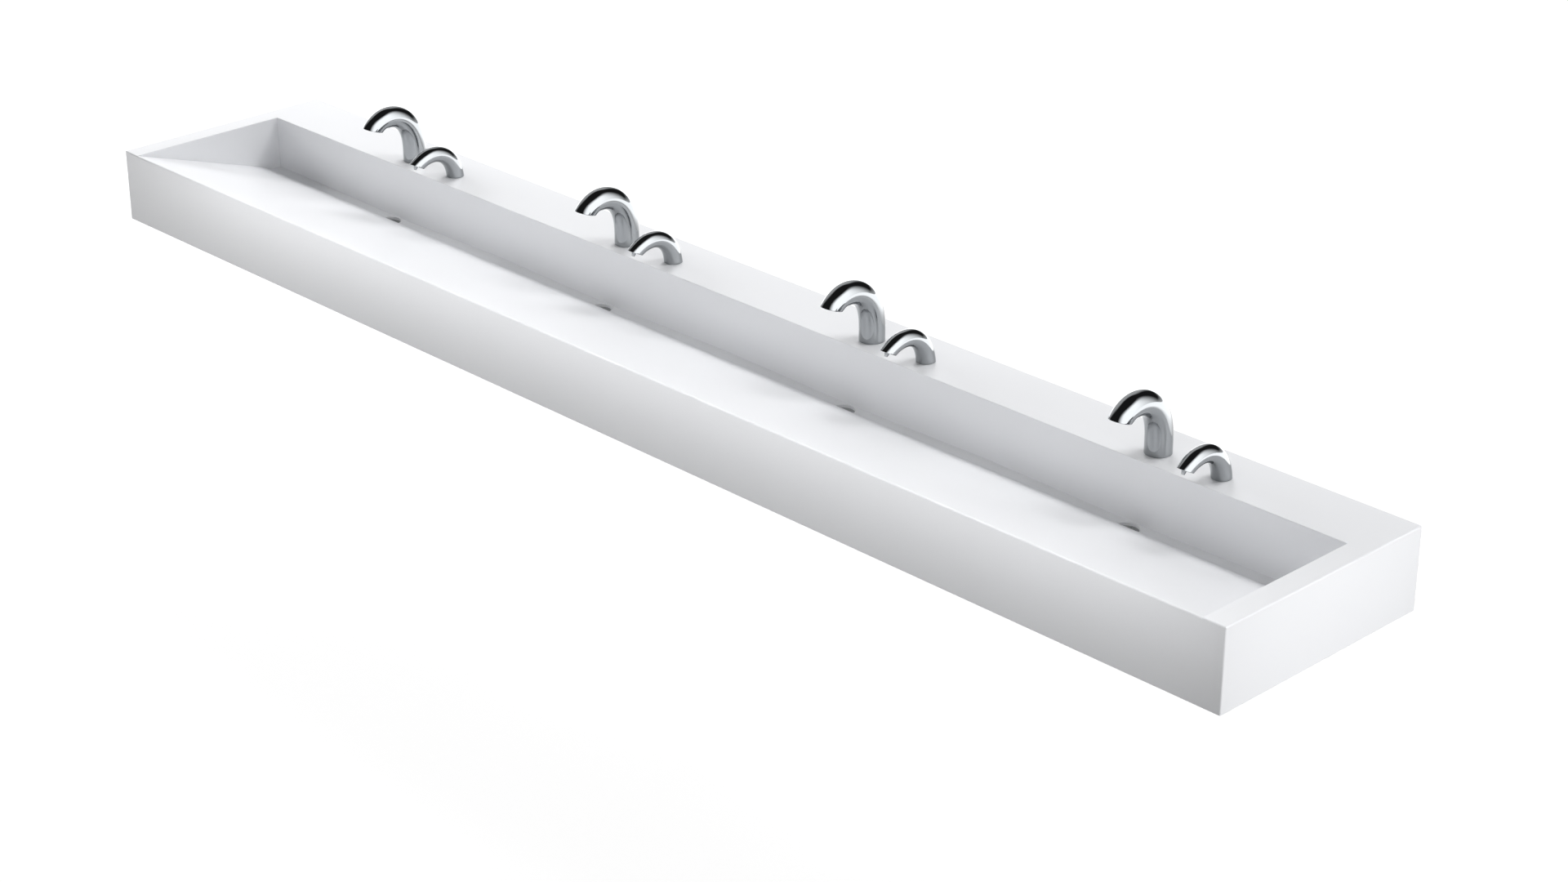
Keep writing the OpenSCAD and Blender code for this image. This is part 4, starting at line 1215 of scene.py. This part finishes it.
@dataclass
class FaucetFittings(SubAssembly):
    """What fills the faucets' mouths and what hangs from their shanks."""

    spout: ArchedSpout
    shank: float = 16.5 * MM
    shank_bore: float = 9.5 * MM
    shank_thread: Thread = Thread(2.0 * MM, 0.7 * MM)
    valve: float = 23 * MM
    valve_top: float = -48 * MM
    valve_low: float = -118 * MM
    valve_edge: float = 2 * MM
    cap: float = 12 * MM
    cap_slope: float = 1 * MM
    waist_depth: float = 1.5 * MM
    coil: float = 13 * MM
    coil_height: float = -76 * MM
    coil_reach: float = 43 * MM
    coil_edge: float = 1.5 * MM
    rib_count: int = 5
    rib_start: float = 3 * MM
    rib_pitch: float = 3.2 * MM
    rib_depth: float = 0.95 * MM
    rib_play: float = 0.05 * MM
    rib_half: float = 0.8 * MM
    rib_edge: float = 0.3 * MM
    rib_growth: float = 1.03
    inlet: float = 10.5 * MM
    inlet_length: float = 16 * MM
    inlet_overlap: float = 1 * MM
    inlet_thread: Thread = Thread(1.8 * MM, 0.6 * MM)
    aerator: float = 10 * MM
    aerator_border: float = 2.2 * MM
    aerator_face: float = -5 * MM
    aerator_shift: float = 4.5 * MM
    cell_pitch: float = 1.75 * MM
    cell_rings: int = 4

    def build(self) -> None:
        """Coats the plain pieces and makes the threaded and wound ones."""
        self.workshop.coat(INSERT, "faucet_inserts")
        self.workshop.coat(LENS, "faucet_lenses")
        self.workshop.coat(TUBE_CHROME, "aerators")
        self.workshop.coat(RUBBER, "faucet_gaskets", "faucet_washers")
        self.workshop.coat(BRASS, "faucet_nuts")
        spots = axes("faucet_spout", self.spout.setback)
        outline = self.shank_thread.tube(self.shank, self.shank_bore, "faucet_shanks")
        shanks = lathe(outline, spots, 48, True)
        self.workshop.make("threaded_faucet_shanks", shanks, BRASS, ["faucet_shanks"])
        self.workshop.make("moulded_valves", self.valves(spots), HOUSING, ["valve_bodies"])
        self.workshop.repeat("coil_ribs", self.rib(), self.rib_places(spots), HOUSING)
        cell = prism(sides=6, radius=0.8 * MM, low=-0.2 * MM, high=0.25 * MM, edge=0.15 * MM)
        self.workshop.repeat("aerator_screens", cell, self.cell_places(spots), TUBE_CHROME)

    def valves(self, spots: Sequence[Matrix]) -> Mesh:
        """The valve bodies, each with its coil case and inlet.

        Args:
            spots: The faucets' axes.

        Returns:
            One mesh that holds the four.
        """
        top, low, outer = self.valve_top, self.valve_low, self.valve
        waist, slope = outer - self.waist_depth, self.cap + self.cap_slope
        bowl = soften([
            (0.0, top), (outer, top), (outer, top - self.cap), (waist, top - slope),
            (waist, low + slope), (outer, low + self.cap), (outer, low), (0.0, low),
        ], self.valve_edge)
        start, end = low + self.inlet_overlap, low - self.inlet_length
        inlet = [(0.0, start)] + self.inlet_thread.outline(self.inlet, low, end) + [(0.0, end)]
        reach = self.coil_reach
        case = soften([(0.0, 0.0), (self.coil, 0.0), (self.coil, reach), (0.0, reach)], self.coil_edge)
        lying = [spot @ at(0.0, 0.0, self.coil_height) @ spun(-90, "X") for spot in spots]
        return joined("valves", lathe(bowl, spots), lathe(inlet, spots, 48), lathe(case, lying, 48))

    def rib(self) -> Mesh:
        """One rib of a coil case.

        Returns:
            The rib's mesh, round the coil's axis.
        """
        outer, half = self.coil - self.rib_play, self.rib_half
        inner = outer - self.rib_depth
        outline = [(inner, -half), (inner, half), (outer, half), (outer, -half)]
        ring = lathe(soften(outline, self.rib_edge, True, 2), sides=40, closed=True)
        ring.transform(Matrix.Scale(self.rib_growth, 4))
        return ring

    def rib_places(self, spots: Sequence[Matrix]) -> list[Matrix]:
        """Where the ribs sit along each coil case."""
        ways = [self.valve + self.rib_start + self.rib_pitch * k for k in range(self.rib_count)]
        return [spot @ at(0.0, way, self.coil_height) @ spun(-90, "X") for spot in spots for way in ways]

    def cell_places(self, spots: Sequence[Matrix]) -> list[Matrix]:
        """Where the cells of each aerator's screen sit.

        Args:
            spots: The faucets' axes.

        Returns:
            The cells' places, in a honeycomb on each screen's face.
        """
        lean = Matrix.Rotation(self.spout.angle(1.0) - math.radians(self.spout.mouth_angle), 4, "X")
        screen = self.spout.mouth() @ lean
        rings, pitch = self.cell_rings, self.cell_pitch
        grid = [
            Vector(((column + 0.5 * (line % 2)) * pitch, line * pitch * math.sqrt(0.75), 0.0))
            for line in range(-rings, rings + 1) for column in range(-rings - 1, rings + 1)
        ]
        face = [p for p in grid if p.length < self.aerator - self.aerator_border]
        return [spot @ screen @ at(p.x, p.y + self.aerator_shift, self.aerator_face)
                for spot in spots for p in face]


@dataclass
class SoapFittings(SubAssembly):
    """The nozzles, shanks, pump housings and bottles of the soap dispensers."""

    spout: ArchedSpout
    shank: float = 12 * MM
    shank_bore: float = 5 * MM
    shank_thread: Thread = Thread(1.8 * MM, 0.6 * MM)
    nozzle: float = 5.5 * MM
    nozzle_bore: float = 2.5 * MM
    nozzle_end: float = 8.2 * MM
    nozzle_in: float = 8 * MM
    nozzle_collar: float = 1.0 * MM
    nozzle_shift: float = 2.5 * MM
    lip: float = 0.5 * MM
    pump: float = 30 * MM
    pump_top: float = -50 * MM
    pump_low: float = -112 * MM
    pump_edge: float = 1.2 * MM
    pump_inset: float = 0.8 * MM
    groove: float = 2 * MM
    groove_drop: float = 24 * MM
    grip_ribs: int = 40
    grip_rise: float = 5 * MM
    grip_drop: float = 32 * MM
    grip_inset: float = 1.15 * MM
    recess: float = 17.35 * MM
    recess_top: float = -97.15 * MM
    bottle: float = 38 * MM
    neck: float = 17 * MM
    neck_height: float = 24 * MM
    neck_thread: Thread = Thread(4 * MM, 0.9 * MM)
    wall: float = 2 * MM
    neck_wall: float = 3 * MM
    corner: float = 14 * MM
    dish: float = 2.5 * MM
    hoop_count: int = 5
    hoop_first: float = 40 * MM
    hoop_pitch: float = 9 * MM
    hoop_half: float = 2 * MM
    hoop_depth: float = 0.9 * MM
    soap_play: float = 0.3 * MM
    soap_base: float = 3.2 * MM
    soap_edge: float = 4 * MM
    soap_level: float = -178 * MM
    meniscus: float = 0.4 * MM

    def build(self) -> None:
        """Coats the plain pieces and makes the turned ones."""
        self.workshop.coat(INSERT, "soap_inserts")
        self.workshop.coat(LENS, "soap_lenses")
        self.workshop.coat(RUBBER, "soap_gaskets")
        self.workshop.coat(HOUSING, "soap_nuts")
        self.workshop.coat(DIP_TUBE, "dip_tubes")
        spots = axes("soap_spout", self.spout.setback)
        outline = self.shank_thread.tube(self.shank, self.shank_bore, "soap_shanks")
        shanks = lathe(outline, spots, 48, True)
        self.workshop.make("threaded_soap_shanks", shanks, BRASS, ["soap_shanks"])
        mouth = self.spout.mouth()
        tips = [spot @ mouth @ at(0.0, self.nozzle_shift) for spot in spots]
        nozzles = lathe(self.nozzle_outline(), tips, 40, True)
        self.workshop.make("soap_tips", nozzles, NOZZLE, ["soap_nozzles"])
        pumps = lathe(self.pump_outline(), spots)
        self.workshop.make("moulded_pumps", pumps, HOUSING, ["pump_housings"])
        low, high = self.pump_low + self.grip_rise, self.pump_top - self.grip_drop
        rib = prism(sides=8, radius=1.1 * MM, low=low, high=high, edge=0.5 * MM)
        places = [spot @ spun(360 * k / self.grip_ribs) @ at(self.pump - self.grip_inset, 0.0)
                  for spot in spots for k in range(self.grip_ribs)]
        self.workshop.repeat("pump_grip_ribs", rib, places, HOUSING)
        for number, spot in zip(STATIONS, spots):
            self.add_bottle(number, spot)

    def nozzle_outline(self) -> Profile:
        """The nozzle's wall with its collar and rounded end, as radius and height.

        Returns:
            The closed outline.
        """
        bore, end, outer, collar = self.nozzle_bore, self.nozzle_end, self.nozzle, self.nozzle_collar
        flare, flare_length = 0.3 * MM, 0.4 * MM
        slope, slope_rise = 0.5 * MM, 0.6 * MM
        outline = [(bore, -self.nozzle_in), (bore, end - flare_length)]
        outline += [(bore + flare + self.lip * s, end - self.lip * (1 - c)) for c, s in quarter(8)]
        return outline + [(outer - slope, collar + slope_rise), (outer, collar), (outer, -self.nozzle_in)]

    def pump_outline(self) -> Profile:
        """The pump housing with its shoulder, groove and recess, as radius and height.

        Returns:
            The outline.
        """
        top, low, outer = self.pump_top, self.pump_low, self.pump
        side, sunk = outer - self.pump_inset, outer - self.groove
        drop, slope = self.groove_drop, 1 * MM
        shoulder, shoulder_drop = outer - 6 * MM, top - 5 * MM
        foot, foot_rise = outer - 2.5 * MM, low + 2 * MM
        return soften([
            (0.0, top), (shoulder, top), (side, shoulder_drop), (side, top - drop),
            (sunk, top - drop - slope), (sunk, top - drop - 3 * slope), (side, top - drop - 4 * slope),
            (side, foot_rise), (foot, low), (self.recess, low), (self.recess, self.recess_top),
            (0.0, self.recess_top),
        ], self.pump_edge)

    def bottle_outline(self, low: float, high: float) -> Profile:
        """The bottle's wall from the middle of its outer base to the middle of its inner base.

        Args:
            low: The height of the base.
            high: The height of the neck's end.

        Returns:
            The outline, as radius and height.
        """
        outer, neck, wall, corner = self.bottle, self.neck, self.wall, self.corner
        shoulder, flat, root = high - self.neck_height, outer - corner, neck - self.neck_thread.depth
        thread_start, thread_end = shoulder + 6 * MM, high - 2 * MM
        foot, foot_rise, mouth_edge, mouth_drop = 4 * MM, 1.5 * MM, 1.6 * MM, 1 * MM
        outline = [(0.0, low + self.dish), (flat - foot, low + foot_rise), (flat, low)]
        outline += [(flat + corner * s, low + corner - corner * c) for c, s in quarter(10, 1)]
        for k in range(self.hoop_count):
            hoop = low + self.hoop_first + self.hoop_pitch * k
            outline += [(outer, hoop - self.hoop_half), (outer - self.hoop_depth, hoop),
                        (outer, hoop + self.hoop_half)]
        outline += [(flat + corner * c, shoulder - corner + corner * s) for c, s in quarter(10)]
        outline += [(root, shoulder)]
        outline += self.neck_thread.outline(neck, thread_start, thread_end)
        outline += [(root, high - mouth_drop), (neck - mouth_edge, high)]
        inside, bore, floor = outer - wall, neck - self.neck_wall, low + wall
        return outline + [(bore, high), (bore, shoulder - wall), (flat, shoulder - wall),
                          (inside, shoulder - corner), (inside, low + corner), (flat, floor + 1 * MM),
                          (0.0, floor + self.dish)]

    def add_bottle(self, number: int, spot: Matrix) -> None:
        """Adds a bottle and its soap, both on the bottle's body.

        Args:
            number: The station's number.
            spot: The soap spout's axis.
        """
        body = f"bottle_{number}"
        low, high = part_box(f"soap_bottle_{number}")
        bottle = lathe(self.bottle_outline(low.z, high.z), [spot], 72)
        self.workshop.make(f"blown_bottle_{number}", bottle, BOTTLE, [f"soap_bottle_{number}"], body)
        inside, level = self.bottle - self.wall - self.soap_play, self.soap_level
        base = low.z + self.wall + self.soap_base
        filling = soften([(0.0, base), (inside - self.corner, base), (inside, base + self.corner),
                          (inside, level), (0.0, level - self.meniscus)], self.soap_edge)
        self.workshop.make(f"soap_filling_{number}", lathe(filling, [spot]), SOAP, body=body)


@dataclass(frozen=True)
class Softbox:
    """A rectangular lamp that is aimed at a point and lights without being seen."""

    name: str
    place: Triple
    aim: Triple
    size: tuple[float, float]
    power: float

    def build(self) -> None:
        """Adds the lamp to the scene."""
        lamp = bpy.data.lights.new(self.name, "AREA")
        lamp.shape = "RECTANGLE"
        lamp.size, lamp.size_y = self.size
        lamp.energy = self.power
        holder = bpy.data.objects.new(self.name, lamp)
        holder.location = self.place
        holder.rotation_euler = (Vector(self.aim) - Vector(self.place)).to_track_quat("-Z", "Y").to_euler()
        holder.visible_glossy = False
        holder.visible_camera = False
        bpy.context.scene.collection.objects.link(holder)
        log.info("lamp %s, %.1f W", self.name, self.power)


@dataclass(frozen=True)
class Card:
    """A soft-edged card that only reflections show.

    Its side edges are in degrees clockwise from straight behind, and its top edge in degrees above the
    horizon. Each edge is where the card starts and ends to fade.
    """

    level: float
    left_edge: tuple[float, float]
    right_edge: tuple[float, float]
    top_edge: tuple[float, float]

    def glow(self, graph: Graph, turn: Socket, height: Socket) -> Socket:
        """How bright the card is in a direction.

        Args:
            graph: The world's graph.
            turn: The direction's angle round the vertical.
            height: Its angle above the horizon.

        Returns:
            The brightness.
        """
        left = graph.ranged(turn, *self.left_edge, smooth=True)
        right = graph.ranged(turn, *self.right_edge, self.level, 0.0, smooth=True)
        top = graph.ranged(height, *self.top_edge, 1.0, 0.0, smooth=True)
        return graph.product(left, right, top)


@dataclass
class Studio:
    """The floor, the lamps, the world and the camera.

    A pair of floor levels is what the floor shows near the sink and far from it, and floor_fade is where
    the one turns into the other.
    """

    floor_height: float = -0.864
    floor_size: float = 60.0
    floor_grey: float = 0.14
    floor_lift: tuple[float, float] = (0.92, 1.0)
    floor_mirrored: tuple[float, float] = (0.76, 2.5)
    floor_fade: tuple[float, float] = (2.4, 3.8)
    ambient: float = 0.1
    dark_level: float = 0.02
    horizon_level: float = 0.75
    horizon_fade: tuple[float, float] = (-2.0, 10.0)
    cards: tuple[Card, ...] = (
        Card(2.65, (10.0, 70.0), (105.0, 160.0), (41.0, 67.0)),
        Card(0.72, (-115.0, -85.0), (-42.0, -20.0), (38.0, 54.0)),
    )
    lens: float = 71.67
    sensor: float = 36.0
    clip_end: float = 200.0
    camera_place: Triple = (4.5173, -4.3314, 2.4947)
    camera_azimuth: float = 46.099
    camera_pitch: float = 24.729
    lamps: tuple[Softbox, ...] = (
        Softbox("back_left", (-1.9, 1.8, 3.2), (-1.4, -0.28, 0.0), (2.0, 1.6), 74.0),
        Softbox("back_middle", (0.0, 1.8, 3.2), (0.0, -0.28, 0.0), (2.0, 1.6), 8.0),
        Softbox("back_right", (1.9, 1.8, 3.2), (1.4, -0.28, 0.0), (2.0, 1.6), 81.0),
        Softbox("low_back_left", (-1.9, 3.0, 2.2), (-1.4, -0.28, 0.0), (2.2, 1.4), 30.0),
        Softbox("left_side", (-5.0, -0.3, 1.6), (-1.6, -0.28, -0.1), (2.4, 1.8), 132.0),
        Softbox("right_low", (2.7, -0.3, 0.0), (1.676, -0.28, -0.08), (0.9, 0.5), 10.0),
        Softbox("right_high", (2.6, -0.2, 0.55), (1.676, -0.28, -0.05), (0.8, 0.5), 1.2),
        Softbox("front_high", (1.8, -2.4, 2.6), (1.2, -0.4, -0.1), (2.4, 1.2), 8.5),
        Softbox("front_left", (-2.0, -4.0, 0.4), (-1.0, -0.5, -0.1), (3.0, 1.2), 3.0),
        Softbox("front_low", (0.0, -4.0, -0.4), (0.0, -0.56, -0.09), (3.0, 0.6), 23.3),
        Softbox("strip_high", (0.14, -0.78, 0.2), (0.14, -0.54, -0.04), (3.1, 0.08), 3.3),
        Softbox("strip_low", (0.0, -0.72, 0.0), (0.0, -0.56, -0.04), (3.4, 0.05), 0.56),
    )

    def build(self) -> None:
        """Makes the whole studio."""
        self.add_camera()
        self.add_world()
        self.add_floor()
        for lamp in self.lamps:
            lamp.build()
        bpy.context.scene.view_settings.view_transform = "Standard"

    def add_camera(self) -> None:
        """Stands the camera where the photograph was taken from."""
        lens = bpy.data.cameras.new("camera")
        lens.lens = self.lens
        lens.sensor_width = self.sensor
        lens.clip_end = self.clip_end
        camera = bpy.data.objects.new("camera", lens)
        camera.location = self.camera_place
        tip, turn = math.radians(90 - self.camera_pitch), math.radians(self.camera_azimuth)
        camera.rotation_euler = Euler((tip, 0.0, turn))
        bpy.context.scene.collection.objects.link(camera)
        bpy.context.scene.camera = camera

    @staticmethod
    def rays(graph: Graph) -> tuple[Socket, Socket]:
        """Tells rays apart.

        Args:
            graph: The world's or a material's graph.

        Returns:
            1 for a ray that is seen directly or through glass, and 1 for a ray that is seen in gloss.
        """
        path = graph.add("ShaderNodeLightPath").outputs
        seen = graph.maths("MAXIMUM", path["Is Camera Ray"], path["Is Transmission Ray"])
        return seen, path["Is Glossy Ray"]

    def add_world(self) -> None:
        """A white ground for the camera, and for reflections a dark studio with its cards."""
        world = bpy.data.worlds.new("studio")
        world.use_nodes = True
        bpy.context.scene.world = world
        graph = Graph(world.node_tree)
        coordinates = graph.add("ShaderNodeTexCoord").outputs["Generated"]
        direction = graph.add("ShaderNodeSeparateXYZ", {0: coordinates}).outputs
        turn = graph.maths("DEGREES", graph.maths("ARCTAN2", direction["X"], direction["Y"]))
        height = graph.maths("DEGREES", graph.maths("ARCSINE", direction["Z"]))
        level = graph.ranged(height, *self.horizon_fade, self.horizon_level, self.dark_level, smooth=True)
        for card in self.cards:
            level = graph.maths("MAXIMUM", level, card.glow(graph, turn, height))
        mirrored = graph.add("ShaderNodeCombineColor", {0: level, 1: level, 2: level}).outputs[0]
        seen, glossy = self.rays(graph)
        lit = graph.mix(glossy, (self.ambient, self.ambient, self.ambient, 1.0), mirrored)
        graph.feed(graph.tree.nodes["Background"], "Color", graph.mix(seen, lit, WHITE))

    def add_floor(self) -> None:
        """A pale floor that keeps a soft shadow and is clear from below."""
        half = self.floor_size / 2
        mesh = bpy.data.meshes.new("floor")
        corners = [(-half, -half), (half, -half), (half, half), (-half, half)]
        mesh.from_pydata([(x, y, self.floor_height) for x, y in corners], [], [(0, 1, 2, 3)])
        floor = bpy.data.objects.new("floor", mesh)
        bpy.context.scene.collection.objects.link(floor)
        material = bpy.data.materials.new("pale_floor")
        material.use_nodes = True
        graph = Graph(material.node_tree)
        graph.tree.nodes.remove(graph.tree.nodes["Principled BSDF"])
        grey = (self.floor_grey, self.floor_grey, self.floor_grey, 1.0)
        matt = graph.add("ShaderNodeBsdfDiffuse", {"Color": grey})
        seen, glossy = self.rays(graph)
        far = graph.vector("LENGTH", graph.add("ShaderNodeTexCoord").outputs["Object"])
        shown = graph.ranged(far, *self.floor_fade, *self.floor_lift, smooth=True)
        mirrored = graph.ranged(far, *self.floor_fade, *self.floor_mirrored, smooth=True)
        level = graph.maths("MULTIPLY_ADD", seen, shown, graph.product(glossy, mirrored))
        lift = graph.add("ShaderNodeEmission", {"Strength": level})
        top = graph.add("ShaderNodeAddShader", {0: matt.outputs[0], 1: lift.outputs[0]})
        clear = graph.add("ShaderNodeBsdfTransparent")
        under = graph.add("ShaderNodeNewGeometry").outputs["Backfacing"]
        mixed = graph.add("ShaderNodeMixShader", {0: under, 1: top.outputs[0], 2: clear.outputs[0]})
        graph.feed(graph.tree.nodes["Material Output"], "Surface", mixed.outputs[0])
        mesh.materials.append(material)


def main() -> None:
    """Builds the studio, then the sub-assemblies in order."""
    workshop = Workshop()
    faucet = ArchedSpout(
        workshop, "faucet_spout", CHROME, length=213.5 * MM, turn=190.0, turn_start_share=0.06,
        turn_end_share=1.494, base_radius=27.58 * MM, tip_radius=22.48 * MM, taper_power=2.0,
        mouth_angle=162.0, bore_radius=18.45 * MM, shank_radius=16.5 * MM, shank_depth=22 * MM,
    )
    soap = ArchedSpout(
        workshop, "soap_spout", CHROME, length=152.5 * MM, turn=132.3, turn_start_share=-0.169,
        turn_end_share=1.176, base_radius=20.58 * MM, tip_radius=16.38 * MM, taper_power=1.0,
        mouth_angle=152.6, bore_radius=12.55 * MM, shank_radius=12.0 * MM, shank_depth=16 * MM, sides=80,
        rows=90,
    )
    Studio().build()
    for part in (Shell(workshop), Brackets(workshop), Drains(workshop), faucet,
                 FaucetFittings(workshop, faucet), soap, SoapFittings(workshop, soap)):
        log.info("building %s", type(part).__name__)
        part.build()


if __name__ == "__main__":
    main()
